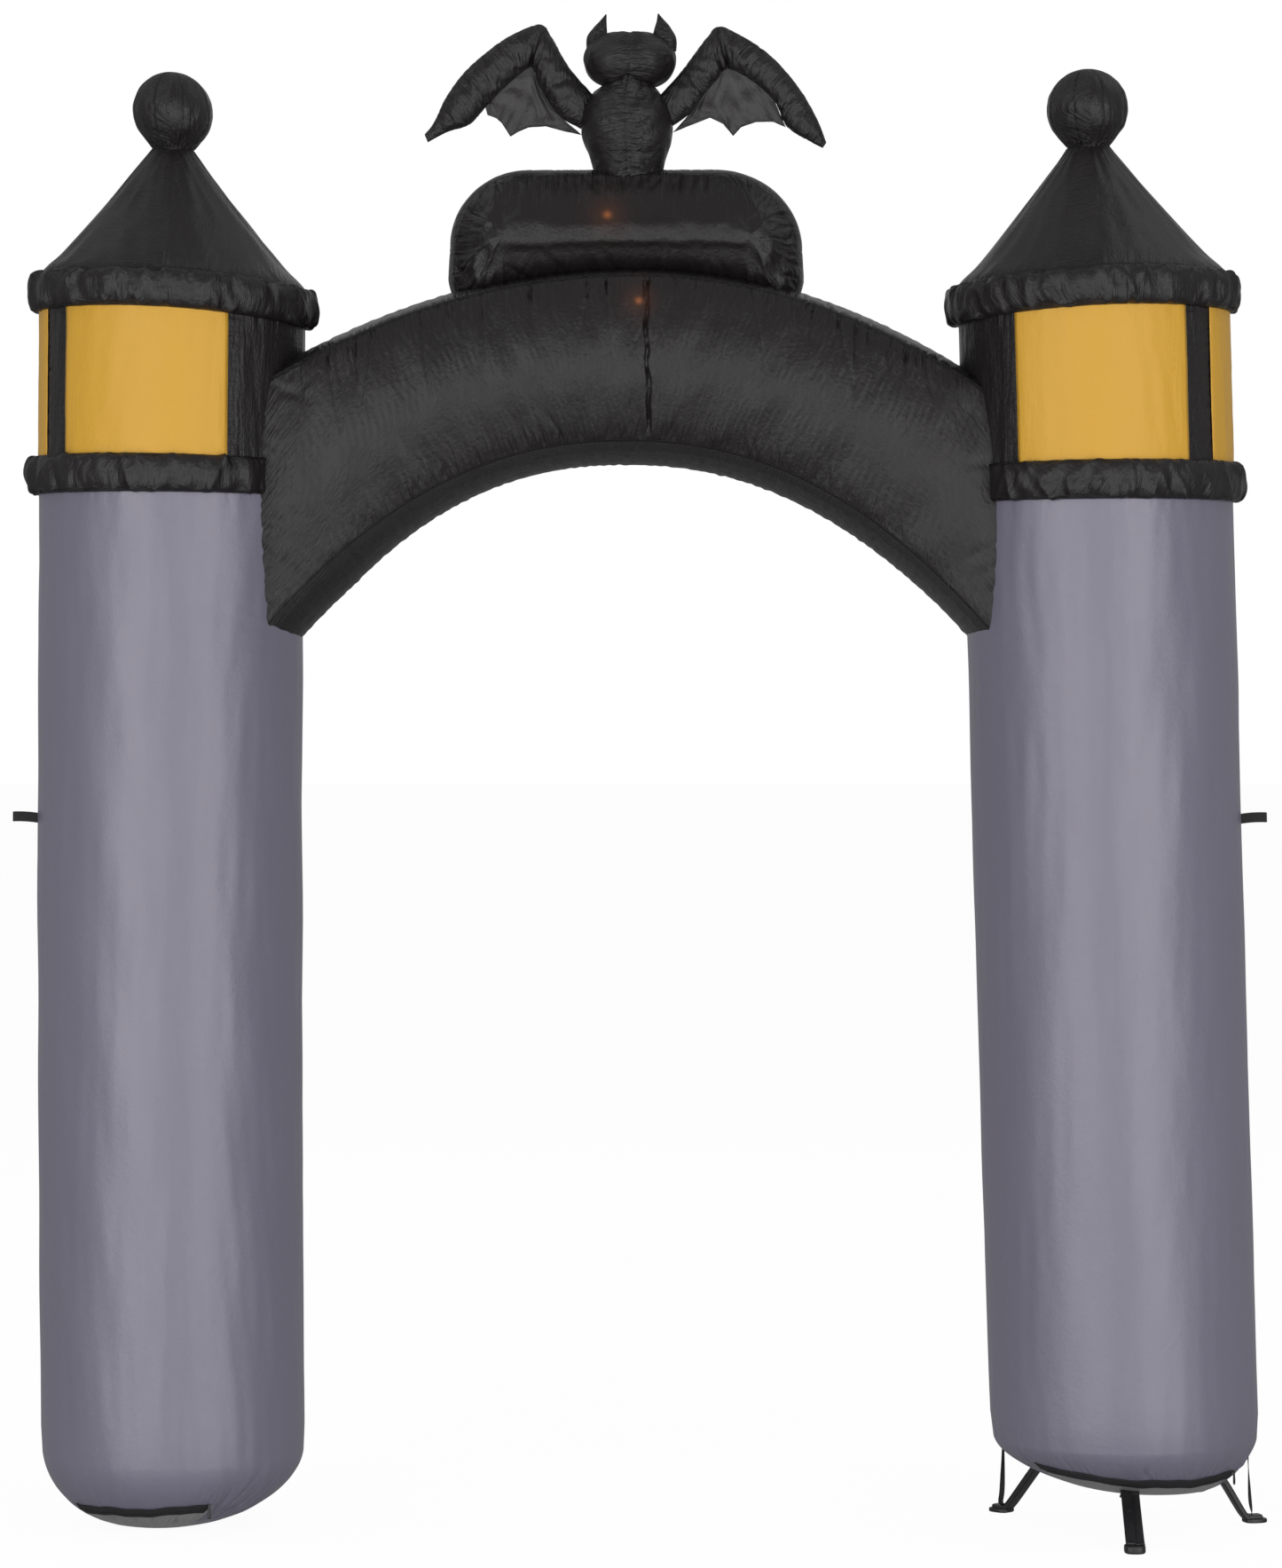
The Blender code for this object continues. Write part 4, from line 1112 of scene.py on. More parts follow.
    def roof(self, shop: Workshop) -> None:
        """The roof: a cone from the neck to the eave with creases at both ends.

        Args:
            shop: what adds the piece.
        """
        rng = np.random.default_rng(self.seed + 5)
        share = np.linspace(0.0, 1.0, 60)[None, :]
        s = np.linspace(0.0, self.around, 261)[:, None]
        slope_from = self.upper_ring_z[1]
        eave_r = self.radius - 0.0005
        shoulder = 0.006 * np.exp(-((share - 0.94) / 0.07) ** 2)
        radius = self.neck_r + (eave_r - self.neck_r) * share - 0.003 * np.sin(math.pi * share)
        radius = radius + shoulder * (1 - smooth((share - 0.97) / 0.03))
        z = self.neck_z + (slope_from - 0.006 - self.neck_z) * share
        t = share * math.hypot(eave_r - self.neck_r, self.neck_z - slope_from)
        span = float(t.max())
        loop = self.around
        eave = Gather(0.016, (0.02, 0.085), (0.0045, 0.0090), (0.0008, 0.0026), 0.12)
        neck = Gather(0.150, (0.06, 0.16), (0.030, 0.060), (0.0012, 0.0030), 0.05)
        height = eave.along(rng, 0, loop, span, True, loop).height(s, t)
        height += neck.along(rng, 0, loop, 0.0, False, loop).height(s, t)
        height += 0.0009 * ripple(rng, s, t, 0.10, 0.20, loop)
        radius, z, height = np.broadcast_arrays(radius, z, height)
        points = self.wall(s, radius, z)
        raised = Surface(points, (True, False)).raised(height).points
        flat = [self.wall(s, np.full(1, eave_r - 0.002), np.full(1, slope_from - 0.03))]
        points = np.concatenate([raised, *flat], axis=1)
        surface = Surface(self.settled(points), (True, False))
        surface.seam = np.zeros(points.shape[:2])
        surface.seam[:, :-1] = np.maximum(span - t, 0.008)
        surface.seam[:, -1] = 0.008
        shop.add(f"{self.side}_roof_cloth", surface.mesh("roof"), "black_cloth", "black_cloth",
                 [f"{self.side}_roof"], Form.PAD, 0.95)

    def ball(self, shop: Workshop) -> None:
        """The ball: gores between seams that draw in, its lower cloth gathered to the neck.

        The radius follows a circle down to 30 degrees below the middle, and then runs
        straight in to the neck.

        Args:
            shop: what adds the piece.
        """
        rng = np.random.default_rng(self.seed + 6)
        turn = np.radians(np.linspace(0.0, 118.0, 56))
        profile = np.stack([self.ball_r * np.sin(turn), self.ball_z + self.ball_r * np.cos(turn)], 1)
        neck = np.array([[self.neck_r + 0.003, self.neck_z + 0.006], [self.neck_r - 0.002, self.neck_z - 0.004]])
        tail = smooth_path([profile[-8], profile[-1], *neck], 10)[10:]
        profile = np.concatenate([profile[:-1], tail])
        angle = np.linspace(0.0, math.tau, 145)[:, None]
        radius, z = profile[:, 0][None, :], profile[:, 1][None, :]
        t = lengths(profile, 0)[None, :]
        gores = 8
        share = np.abs((angle * gores / math.tau + 0.55) % 1.0 - 0.5) * 2
        seam_cut = -0.0030 * np.exp(-((1 - share) / 0.09) ** 2) * smooth(t / 0.03)
        loop = math.tau * self.ball_r
        s = angle * self.ball_r
        height = seam_cut + 0.0005 * ripple(rng, s, t, 0.03, 0.05, loop)
        low = Gather(0.012, (0.03, 0.085), (0.0032, 0.0060), (0.0016, 0.0052), 0.35)
        height = height + low.along(rng, 0, loop, float(t.max()) - 0.012, True, loop).height(s, t)
        radius, z, height = np.broadcast_arrays(radius, z, height)
        points = np.stack([(radius + height) * np.sin(angle), -(radius + height) * np.cos(angle), z], -1)
        points[:, 0, :2] = 0.0
        surface = Surface(self.settled(points), (True, False))
        surface.seam = (1 - share) * math.pi * self.ball_r / gores * np.ones_like(z) + 0.003
        shop.add(f"{self.side}_ball_cloth", surface.mesh("ball"), "black_cloth", "black_cloth",
                 [f"{self.side}_ball"], Form.PAD, 0.95)

    def build(self, shop: Workshop) -> None:
        """Builds the tower's pieces.

        Args:
            shop: what adds them.
        """
        self.shaft(shop)
        self.drum(shop)
        self.window_panes(shop)
        self.ring(shop, "lower", *self.ring_z)
        self.ring(shop, "upper", *self.upper_ring_z)
        self.roof(shop)
        self.ball(shop)


# The arch and its header


@dataclass
class Arch:
    """The arch tube: two puffed faces, a top strip and a soffit strip between four seams."""

    x: tuple = (-0.80, 0.75)
    y: float = 0.020
    skew: float = -0.021
    half_depth: float = 0.150
    soffit_peak: tuple = (-0.030, 2.1795)
    soffit_drop: float = 0.77
    soffit_power: float = 2.2
    top_peak: tuple = (-0.015, 2.512)
    top_drops: tuple = (0.395, 0.475)
    lean: float = 0.055
    face_bulge: float = 0.055
    top_bulge: float = 0.022
    soffit_bulges: tuple = (0.060, 0.042, 0.034)
    bulge_reach: float = 0.65
    face_reach: float = 0.84
    stations: int = 760
    face_steps: tuple = (48, 16)
    strip_steps: int = 9
    joints: tuple = ((-0.748, 1), (0.750, -1))
    panel_seam_x: float = 0.013
    seed: int = 11

    def middle_y(self, x: Array) -> Array:
        """The depth of the arch's mid-plane at x."""
        return self.y + self.skew * x

    def soffit_z(self, x: Array) -> Array:
        """The height of the soffit's seams: the peak less drop times |x|^power."""
        return self.soffit_peak[1] - self.soffit_drop * np.abs(x - self.soffit_peak[0]) ** self.soffit_power

    def top_z(self, x: Array) -> Array:
        """The height of the top's seams: the peak less a drop, of each side's own, times x^2."""
        away = np.asarray(x - self.top_peak[0])
        return self.top_peak[1] - np.where(away < 0, *self.top_drops) * away * away

    def seam(self, height: Callable[[Array], Array], x: Array) -> tuple:
        """A seam's points in X and Z, and its unit normals.

        Args:
            height: the seam's height as a function of x.
            x: where to take it.

        Returns:
            The points and the normals, which point up.
        """
        slope = (height(x + 0.001) - height(x - 0.001)) / 0.002
        normal = np.stack([-slope, np.ones_like(slope)], axis=-1) / np.hypot(slope, 1.0)[..., None]
        return np.stack([x, height(x)], axis=-1), normal

    def build(self, shop: Workshop) -> None:
        """Builds the tube.

        A face point lies between the soffit's seam and the top's, across from -1 to 1, and
        stands out by the bulge times 1 - across^2. A strip point lies between its two
        seams in the same way, and bulges along the seam's normal.

        Args:
            shop: what adds the piece.
        """
        rng = np.random.default_rng(self.seed)
        share = np.linspace(-1.0, 1.0, self.stations + 1)
        x = (self.x[0] + self.x[1]) / 2 + (self.x[1] - self.x[0]) / 2 * share
        lean = self.lean * np.sin(math.pi * share)
        low, low_normal = self.seam(self.soffit_z, x - lean)
        top, top_normal = self.seam(self.top_z, x + lean)
        face = self.face_bulge * np.maximum(0.0, 1 - (x / self.face_reach) ** 4)
        left, mid, right = self.soffit_bulges
        near_end = np.minimum(1.0, (x / self.bulge_reach) ** 4)
        soffit = mid + (np.where(x < 0, left, right) - mid) * near_end
        strip = np.linspace(-1, 1, self.strip_steps + 1)
        tall = np.linalg.norm(top - low, axis=-1)[:, None]
        s_low, s_top = lengths(low, 0)[:, None], lengths(top, 0)[:, None]
        parts, seams, uvs, zones = [], [], [], []
        for side, steps in zip((-1, 1), self.face_steps):
            order = np.linspace(-1, 1, steps + 1) * -side
            xz = low[:, None] + (top - low)[:, None] * (order[None, :, None] + 1) / 2
            depth = side * (self.half_depth + face[:, None] * (1 - order ** 2))
            points = np.stack([xz[..., 0], depth, xz[..., 1]], axis=-1)
            t_low, t_top = (order + 1) / 2 * tall, (1 - order) / 2 * tall
            height = self.face_height(rng, s_low, t_low, s_top, t_top, xz)
            outward = np.array([0.0, side, 0.0])
            parts.append(Surface(points).raised(height, outward).points)
            seams.append(np.minimum(t_low, t_top))
            beside = np.minimum(*(np.maximum(0.0, (xz[..., 0] - at) * sign) for at, sign in self.joints))
            zones.append(np.exp(-beside / 0.04) * smooth(seams[-1] / 0.02))
            uvs.append(np.stack([s_top + 0 * t_low, t_low], axis=-1))
            edge, normal, bulge = (top, top_normal, np.full(len(x), self.top_bulge)) if side < 0 \
                else (low, -low_normal, soffit)
            order = strip * -side
            xz = edge[:, None] + normal[:, None] * (bulge[:, None] * (1 - order ** 2))[..., None]
            wide = np.broadcast_to(self.half_depth * order, xz.shape[:2])
            points = np.stack([xz[..., 0], wide, xz[..., 1]], axis=-1)
            s_here = s_top if side < 0 else s_low
            t_here = (1 + strip)[None, :] * self.half_depth
            height = self.strip_height(rng, s_here, t_here)
            outward = np.stack([normal[:, 0], 0 * normal[:, 0], normal[:, 1]], -1)[:, None]
            parts.append(Surface(points).raised(height, outward).points)
            seams.append(np.minimum(t_here, 2 * self.half_depth - t_here) + 0 * s_here)
            zones.append(0 * seams[-1])
            uvs.append(np.stack([s_here + 0 * t_here, t_here + 0 * s_here], axis=-1))
        ring, seam, uv, zone = (np.concatenate([part[:, :-1] for part in group] + [group[0][:, :1]], axis=1)
                                for group in (parts, seams, uvs, zones))
        ring[..., 1] += self.middle_y(ring[..., 0])
        mesh = Surface(ring, (False, True), uv, seam, zone).mesh("arch_tube")
        mesh.set_sharp_from_angle(angle=math.radians(58))
        shop.add("arch_tube", mesh, "black_cloth", "black_cloth", ["arch"], Form.PAD, 0.9)

    def face_height(self, rng: np.random.Generator, s_low: Array, t_low: Array, s_top: Array,
                    t_top: Array, xz: Array) -> Array:
        """A face's creases: from both seams, from the towers and along the panel seam.

        Args:
            rng: the source of chance.
            s_low: the distance along the soffit's seam.
            t_low: the distance up from it.
            s_top: the distance along the top's seam.
            t_top: the distance down from it.
            xz: each point's X and Z.

        Returns:
            The heights.
        """
        long_low, long_top = float(s_low.max()), float(s_top.max())
        top = Gather(0.0125, (0.03, 0.11), (0.0040, 0.0070), (0.0018, 0.0070), 0.10)
        deep = Gather(0.055, (0.09, 0.24), (0.0050, 0.0090), (0.0030, 0.0075), 0.08)
        low = Gather(0.0130, (0.025, 0.10), (0.0040, 0.0070), (0.0012, 0.0050), 0.24)
        height = self.upright(top.along(rng, 0, long_top), long_top, 1).height(s_top, t_top)
        height += self.upright(deep.along(rng, 0, long_top), long_top, 1).height(s_top, t_top)
        height += self.upright(low.along(rng, 0, long_low), long_low, -1).height(s_low, t_low)
        inward = smooth((0.74 - np.abs(xz[..., 0] + 0.01)) / 0.24)
        height *= 0.16 + 0.84 * inward
        height += 0.00035 * ripple(rng, s_top, t_top, 0.018, 0.05)
        height += 0.0014 * ripple(rng, s_top, t_top, 0.11, 0.22)
        for tower_x, sign in self.joints:
            joint = Gather(0.026, (0.05, 0.20), (0.0080, 0.0130), (0.0030, 0.0085), 0.20)
            marks = joint.along(rng, 1.62, 2.42).marks
            fan = np.interp(marks[:, 0], (1.62, 1.90, 2.20, 2.42), (0.75, 0.40, 0.10, -0.15))
            marks[:, 2] = sign * (math.pi / 2 + fan + marks[:, 2])
            marks[:, [0, 1]] = np.stack([np.full(len(marks), tower_x - 0.01 * sign), marks[:, 0]], 1)
            height += Folds(marks).height(xz[..., 0], xz[..., 1])
        zigzag = 0.0030 * np.sin(xz[..., 1] * 23.0) + 0.0018 * np.sin(xz[..., 1] * 83.0)
        away = xz[..., 0] - self.panel_seam_x - zigzag
        height -= 0.0060 * np.exp(-(away / 0.0036) ** 2) * smooth(t_low / 0.05)
        cross = Gather(0.026, (0.04, 0.09), (0.0036, 0.0060), (0.0016, 0.0042), 0.10, lean=math.pi - 0.24)
        for sign in (-1, 1):
            marks = cross.along(rng, 2.20, 2.50).marks
            marks[:, 2] *= sign
            marks[:, [0, 1]] = np.stack([np.full(len(marks), self.panel_seam_x), marks[:, 0]], 1)
            height += Folds(marks).height(xz[..., 0], xz[..., 1])
        return height * (smooth(np.minimum(t_low, t_top) / 0.012) * 0.75 + 0.25) \
            * smooth(np.minimum(t_low, t_top) / 0.003)

    def upright(self, folds: Folds, long: float, sign: int) -> Folds:
        """Turns a seam's creases upright, since the arch's cross-sections lean.

        Args:
            folds: the creases.
            long: the seam's length.
            sign: 1 at the top's seam, -1 at the soffit's.

        Returns:
            The creases, turned.
        """
        share = folds.marks[:, 0] / long * 2 - 1
        folds.marks[:, 2] += sign * 0.30 * np.sin(math.pi * share)
        return folds

    def strip_height(self, rng: np.random.Generator, s: Array, t: Array) -> Array:
        """A strip's creases, from its two seams inwards.

        Args:
            rng: the source of chance.
            s: the distance along the strip.
            t: the distance across it.

        Returns:
            The heights.
        """
        wide, long = float(t.max()), float(s.max())
        gather = Gather(0.016, (0.03, 0.12), (0.0045, 0.0080), (0.0014, 0.0050), 0.40)
        height = gather.along(rng, 0, long).height(s, t)
        height += gather.along(rng, 0, long, wide, True).height(s, t)
        height += 0.0006 * ripple(rng, s, t, 0.03, 0.15)
        return height * smooth(np.minimum(t, wide - t) / 0.004)


@dataclass
class Header:
    """The puffed board on the arch: two faces that swell from a rim, and a gusset between."""

    arch: Arch
    x: float = -0.030
    half_width: float = 0.347
    top: float = 2.7165
    corner_left: tuple = (0.144, 0.136)
    corner_right: tuple = (0.162, 0.145)
    sink: float = 0.016
    half_depth: float = 0.050
    bulge: float = 0.080
    fullness: float = 2.7
    spine_z: float = 2.588
    spine_half: float = 0.24
    inflation: Inflation = Inflation()
    seed: int = 23

    def outline(self) -> Array:
        """The rim in X and Z: its flat top, a shoulder, a side, the foot and back up.

        The foot has the same x values as the top, so both meet on the spine.

        Returns:
            The rim's points, the last one the first again.
        """
        edges = []
        for corner, sign in ((self.corner_right, 1), (self.corner_left, -1)):
            across, rise = corner
            corner_x, corner_z = self.half_width - 0.006 - across, self.top - rise
            foot_end = float(self.arch.top_z(self.x + sign * self.half_width)) - self.sink
            turn = np.radians(np.linspace(0, 90, 31))[::-1]
            curve = np.stack([corner_x + across * np.cos(turn), corner_z + rise * np.sin(turn)], 1)
            side = np.array([[self.half_width - 0.001, (foot_end + corner_z) / 2],
                             [self.half_width - 0.002, foot_end + 0.060],
                             [self.half_width - 0.018, foot_end]])
            path = np.concatenate([[[0.0, self.top]], curve, side])
            path = np.concatenate([path, [[0.12, self.foot_z(np.array(0.12 * sign))]]])
            edges.append(path)
        spine = np.linspace(self.spine_half, -self.spine_half, 161)
        right, left = (self.resampled(edge) for edge in edges)
        left = left[::-1] * (-1, 1)
        rise = [np.interp(np.abs(spine), edge[:32, 0], edge[:32, 1]) for edge in edges]
        top = np.stack([spine, np.where(spine < 0, rise[1], rise[0])], 1)
        foot = np.stack([spine[::-1], self.foot_z(spine[::-1])], 1)
        return np.concatenate([top[:-1], left[::-1][:-1], foot[:-1], right[::-1]])

    def foot_z(self, x: Array) -> Array:
        """The height of the foot, let into the arch's top."""
        return self.arch.top_z(self.x + x) - self.sink

    def resampled(self, path: Array) -> Array:
        """The part of a half rim beyond the spine's end, as evenly spaced points.

        Args:
            path: the half rim, from the middle of the top round to the foot.

        Returns:
            121 points, from the top's end down to the foot's.
        """
        fine = lengths(path, 0)
        dense = np.linspace(0, fine[-1], 4000)
        points = np.stack([np.interp(dense, fine, path[:, i]) for i in (0, 1)], 1)
        beyond = points[points[:, 0] >= self.spine_half]
        reach = lengths(beyond, 0)
        even = np.linspace(0, reach[-1], 121)
        return np.stack([np.interp(even, reach, beyond[:, i]) for i in (0, 1)], 1)

    def build(self, shop: Workshop) -> None:
        """Builds the board.

        Each ring is the rim drawn in towards the spine by a share. Its depth is the rim's
        plus the bulge times 1 - share^fullness, and the gusset bows out a little.

        Args:
            shop: what adds the piece.
        """
        rng = np.random.default_rng(self.seed)
        rim = self.outline()
        rim[-1] = rim[0]
        spine = np.stack([np.clip(rim[:, 0], -self.spine_half, self.spine_half),
                          np.full(len(rim), self.spine_z)], 1)
        shares = np.sin(np.linspace(0.0, math.pi / 2, 32)) ** 1.15
        s = lengths(rim, 0)[:, None]
        loop = float(s[-1, 0])
        wide = np.linalg.norm(rim - spine, axis=1)[:, None]
        sheets, seams = [], []
        sink = np.clip((self.spine_z - rim[:, 1]) / wide[:, 0], -1.0, 1.0)[:, None]
        lower = sink > 0.4
        for side in (-1, 1):
            grid = spine[:, None] + (rim - spine)[:, None] * shares[None, :, None]
            depth = side * (self.half_depth + self.bulge * (1 - shares ** self.fullness))
            points = np.stack([grid[..., 0] + self.x, np.broadcast_to(depth, grid.shape[:2]),
                               grid[..., 1]], -1)
            t = wide * (1 - shares)
            gather = Gather(0.0150, (0.03, 0.08), (0.0045, 0.0080), (0.0014, 0.0050), 0.30)
            longer = Gather(0.030, (0.05, 0.12), (0.0060, 0.0100), (0.0030, 0.0085), 0.40)
            height = gather.along(rng, 0, loop, loop=loop).height(s, t)
            height += longer.along(rng, 0, loop, loop=loop).height(s, t) * np.where(lower, 1.0, 0.35)
            height *= (smooth(t / 0.010) * 0.7 + 0.3) * smooth((shares - 0.12) / 0.5)
            height += 0.0010 * ripple(rng, grid[..., 0], grid[..., 1], 0.09, 0.12)
            height *= smooth(t / 0.003)
            outward = np.array([0.0, side, 0.0])
            sheets.append(Surface(points, (True, False)).raised(height, outward).points)
            seams.append(t + 0 * s)
        turn = np.linspace(-1, 1, 11)[1:-1]
        out = (rim - spine) / wide
        gusset = np.stack([(rim[:, None, 0] + out[:, None, 0] * 0.007 * (1 - turn ** 2)) + self.x,
                           np.broadcast_to(turn * self.half_depth, (len(rim), len(turn))),
                           rim[:, None, 1] + out[:, None, 1] * 0.007 * (1 - turn ** 2)], -1)
        ring = np.concatenate([sheets[0], gusset, sheets[1][:, ::-1]], axis=1)
        ring[..., 1] += self.arch.middle_y(ring[..., 0])
        edge = (1 - np.abs(turn)) * self.half_depth + 0 * s
        seam = np.concatenate([seams[0], edge, seams[1][:, ::-1]], axis=1)
        uv = np.stack([ring[..., 0], ring[..., 2]], axis=-1)
        sideways = smooth((0.75 - np.abs(sink)) / 0.3)
        mesh = Surface(ring, (True, False), uv, seam, sideways * np.exp(-seam / 0.05)).mesh("header_board")
        mesh.set_sharp_from_angle(angle=math.radians(62))
        board = shop.add("header_board", mesh, "black_cloth", "black_cloth", ["header"],
                         Form.PAD, 0.85)
        self.inflation.blow(board)


# The bat


def closed_tube(rings: Array) -> Array:
    """A tube's rings with its middle point added as a ring at each end, which closes it."""
    ends = [np.broadcast_to(rings[i:i + 1, :-1].mean(axis=1, keepdims=True), rings[:1].shape)
            for i in (0, len(rings) - 1)]
    return np.concatenate([ends[0], rings, ends[1]])


@dataclass
class Bat:
    """The bat: a body, a head and two ears as stacks of ovals, and two padded wings with webs.

    An oval is its height, its middle x and its half width and depth. A wing's rib is the x
    and z of its outer edge and of its inner edge.
    """

    arch: Arch
    seed: int = 47
    body: tuple = (
        (2.6849, -0.0255, 0.064, 0.052), (2.7195, -0.0255, 0.066, 0.056),
        (2.7540, -0.0255, 0.0745, 0.066), (2.7837, -0.0270, 0.0860, 0.075),
        (2.8133, -0.0280, 0.0900, 0.078), (2.8449, -0.0285, 0.0870, 0.075),
        (2.8725, -0.0300, 0.0730, 0.070), (2.8907, -0.0270, 0.0550, 0.069),
        (2.9040, -0.0262, 0.0370, 0.070), (2.9140, -0.0258, 0.0190, 0.068),
        (2.9190, -0.0255, 0.0040, 0.040))
    head_middle: tuple = (2.9472, -0.0220)
    head_half: tuple = (0.0574, 0.0915, 0.0740)
    head_power: float = 0.8
    ears: tuple = (
        ("left", ((2.9661, -0.0880, 0.0225, 0.0200), (2.9937, -0.0880, 0.0205, 0.0170),
                  (3.0124, -0.0822, 0.0135, 0.0110), (3.0262, -0.0760, 0.0070, 0.0060),
                  (3.0400, -0.0700, 0.0012, 0.0012))),
        ("right", ((2.9661, 0.0480, 0.0225, 0.0200), (2.9937, 0.0475, 0.0235, 0.0170),
                   (3.0124, 0.0440, 0.0165, 0.0110), (3.0262, 0.0398, 0.0090, 0.0060),
                   (3.0410, 0.0345, 0.0012, 0.0012))))
    wings: tuple = (
        ("left", ((-0.4345, 2.8005, -0.4280, 2.7847), (-0.4165, 2.8232, -0.3880, 2.8054),
                  (-0.3915, 2.8745, -0.3440, 2.8202), (-0.3555, 2.9238, -0.3120, 2.8538),
                  (-0.3125, 2.9627, -0.2820, 2.8863), (-0.2640, 2.9967, -0.2470, 2.9169),
                  (-0.2030, 3.0203, -0.2200, 2.9336), (-0.1790, 2.9947, -0.2070, 2.9021),
                  (-0.1530, 2.9484, -0.1860, 2.8695), (-0.1260, 2.9119, -0.1600, 2.8330),
                  (-0.0600, 2.8429, -0.0750, 2.7886))),
        ("right", ((0.3715, 2.7827, 0.3640, 2.7718), (0.3553, 2.8251, 0.3375, 2.7857),
                   (0.3285, 2.8745, 0.2925, 2.8143), (0.2960, 2.9188, 0.2690, 2.8626),
                   (0.2585, 2.9578, 0.2370, 2.8952), (0.2140, 2.9893, 0.2030, 2.9188),
                   (0.1580, 3.0154, 0.1710, 2.9297), (0.1315, 2.9927, 0.1530, 2.9100),
                   (0.1010, 2.9524, 0.1260, 2.8784), (0.0707, 2.9139, 0.0960, 2.8390),
                   (0.0050, 2.8429, 0.0200, 2.7886))))
    web_edges: tuple = (
        ((-0.3080, 2.8390), (-0.2900, 2.8325), (-0.2790, 2.8222), (-0.2620, 2.7960),
         (-0.2470, 2.8049), (-0.2265, 2.8138), (-0.1910, 2.8163), (-0.1500, 2.8054),
         (-0.1180, 2.7985)),
        ((0.2900, 2.8133), (0.2660, 2.8242), (0.2300, 2.8242), (0.2005, 2.8138),
         (0.1848, 2.7960), (0.1650, 2.8202), (0.1384, 2.8330), (0.0880, 2.8133),
         (0.0640, 2.8034)))
    wing_round: float = 0.30
    wing_depth: float = 0.030
    web_ribs: tuple = (3, 10)
    inflation: Inflation = Inflation(most=0.005)
    least_blown: float = 0.03

    def stack(self, shop: Workshop, name: str, ovals: Sequence, steps: int, sides: int,
              gathers: Sequence, rise: float) -> None:
        """A stack of ovals run through by a smooth curve, with creases from both ends.

        Args:
            shop: what adds the piece.
            name: the node's name.
            ovals: its ovals.
            steps: how many rings between each two.
            sides: the points of a ring.
            gathers: the creases from its first end, its last end and its middle seam.
            rise: how far its middle seam draws in.
        """
        rng = np.random.default_rng(self.seed + len(name))
        path = smooth_path(ovals, steps)
        angle = np.linspace(0.0, math.tau, sides + 1)[None, :] - math.pi / 2
        z, x, wide, deep = (path[:, i, None] for i in range(4))
        deep = np.maximum(deep, 0.0008)
        points = np.stack([x + np.maximum(wide, 0.0008) * np.cos(angle), deep * np.sin(angle),
                           z + 0 * angle], -1)
        t = lengths(points.mean(axis=1)[:, None] + (wide * [1.0, 0.0, 0.0])[:, None], 0)[:, :1, ...]
        t = t.reshape(-1, 1)
        middle = float(wide.mean())
        s = (angle + math.pi / 2) * middle
        loop = math.tau * middle
        start, end, across = gathers
        height = start.along(rng, 0, loop, 0.0, False, loop).height(s, t)
        height += end.along(rng, 0, loop, float(t.max()), True, loop).height(s, t)
        seam = np.abs((s + loop / 4) % (loop / 2) - loop / 4) * np.ones_like(t)
        height -= rise * np.exp(-(seam / 0.0035) ** 2)
        for turn in (math.pi / 2, -math.pi / 2):
            marks = across.along(rng, 0.01, float(t.max()) - 0.01).marks
            marks[:, 1], marks[:, 0] = marks[:, 0].copy(), 0.0
            marks[:, 2] += turn
            height += Folds(marks, loop).height(s, t)
        height += 0.0007 * ripple(rng, s, t, 0.05, 0.06, loop)
        height *= smooth(wide / 0.012)
        surface = Surface(points, (False, True), seam=seam).raised(height, points - np.stack(
            [x, 0 * x, z], -1))
        ring = closed_tube(surface.points)
        ring[..., 1] += self.arch.middle_y(x.mean())
        ends = 0 * seam[:1]
        surface = Surface(ring, (False, True), seam=np.concatenate([ends, seam, ends]))
        piece = shop.add(name + "_cloth", surface.mesh(name), "black_cloth", "black_cloth",
                         [name], Form.PAD, 0.9)
        if middle > self.least_blown:
            self.inflation.blow(piece)

    def wing(self, shop: Workshop, side: str, ribs: Sequence) -> None:
        """A wing's padded rim: an oval at each rib, puckered at both seams and folded at its bend.

        Args:
            shop: what adds the piece.
            side: "left" or "right".
            ribs: its ribs.
        """
        rng = np.random.default_rng(self.seed + 9 + len(side))
        steps = 13
        path = smooth_path(ribs, steps)
        outer, inner = path[:, None, :2], path[:, None, 2:]
        middle, half = (outer + inner) / 2, (outer - inner) / 2
        reach = np.linalg.norm(half, axis=-1)
        depth = np.minimum(self.wing_round * 2 * reach, self.wing_depth)
        angle = np.linspace(0.0, math.tau, 65)[None, :]
        xz = middle + half * np.cos(angle)[..., None]
        points = np.stack([xz[..., 0], depth * np.sin(angle), xz[..., 1]], -1)
        s = lengths(middle, 0) + 0 * angle
        t_outer = (1 - np.cos(angle)) * reach
        t_inner = (1 + np.cos(angle)) * reach
        long = float(s.max())
        edge = Gather(0.012, (0.015, 0.060), (0.0035, 0.0065), (0.0014, 0.0048), 0.35)
        height = edge.along(rng, 0, long).height(s, t_outer)
        height += edge.along(rng, 0, long).height(s, t_inner)
        bend = s[6 * steps, 0]
        for offset, depth_here in ((-0.004, 0.0120), (0.014, 0.006), (-0.026, 0.006)):
            fold = Folds(np.array([[bend + offset, -0.004, 0.05, 0.14, 0.0065, depth_here, 0.1]]))
            height += fold.height(s, t_inner)
        height += 0.0008 * ripple(rng, s, t_outer, 0.04, 0.05)
        height *= smooth((reach - 0.008) / 0.02) * (0.25 + 0.75 * smooth(np.minimum(t_outer, t_inner) / 0.004))
        outward = points - np.stack([middle[..., 0], 0 * reach, middle[..., 1]], -1)
        surface = Surface(points, (False, True)).raised(height, outward)
        ring = closed_tube(surface.points)
        ring[..., 1] += self.arch.middle_y(ring[..., 0])
        seam = np.minimum(t_outer, t_inner)
        ends = 0 * seam[:1]
        surface = Surface(ring, (False, True), seam=np.concatenate([ends, seam, ends]))
        name = f"bat_{side}_wing"
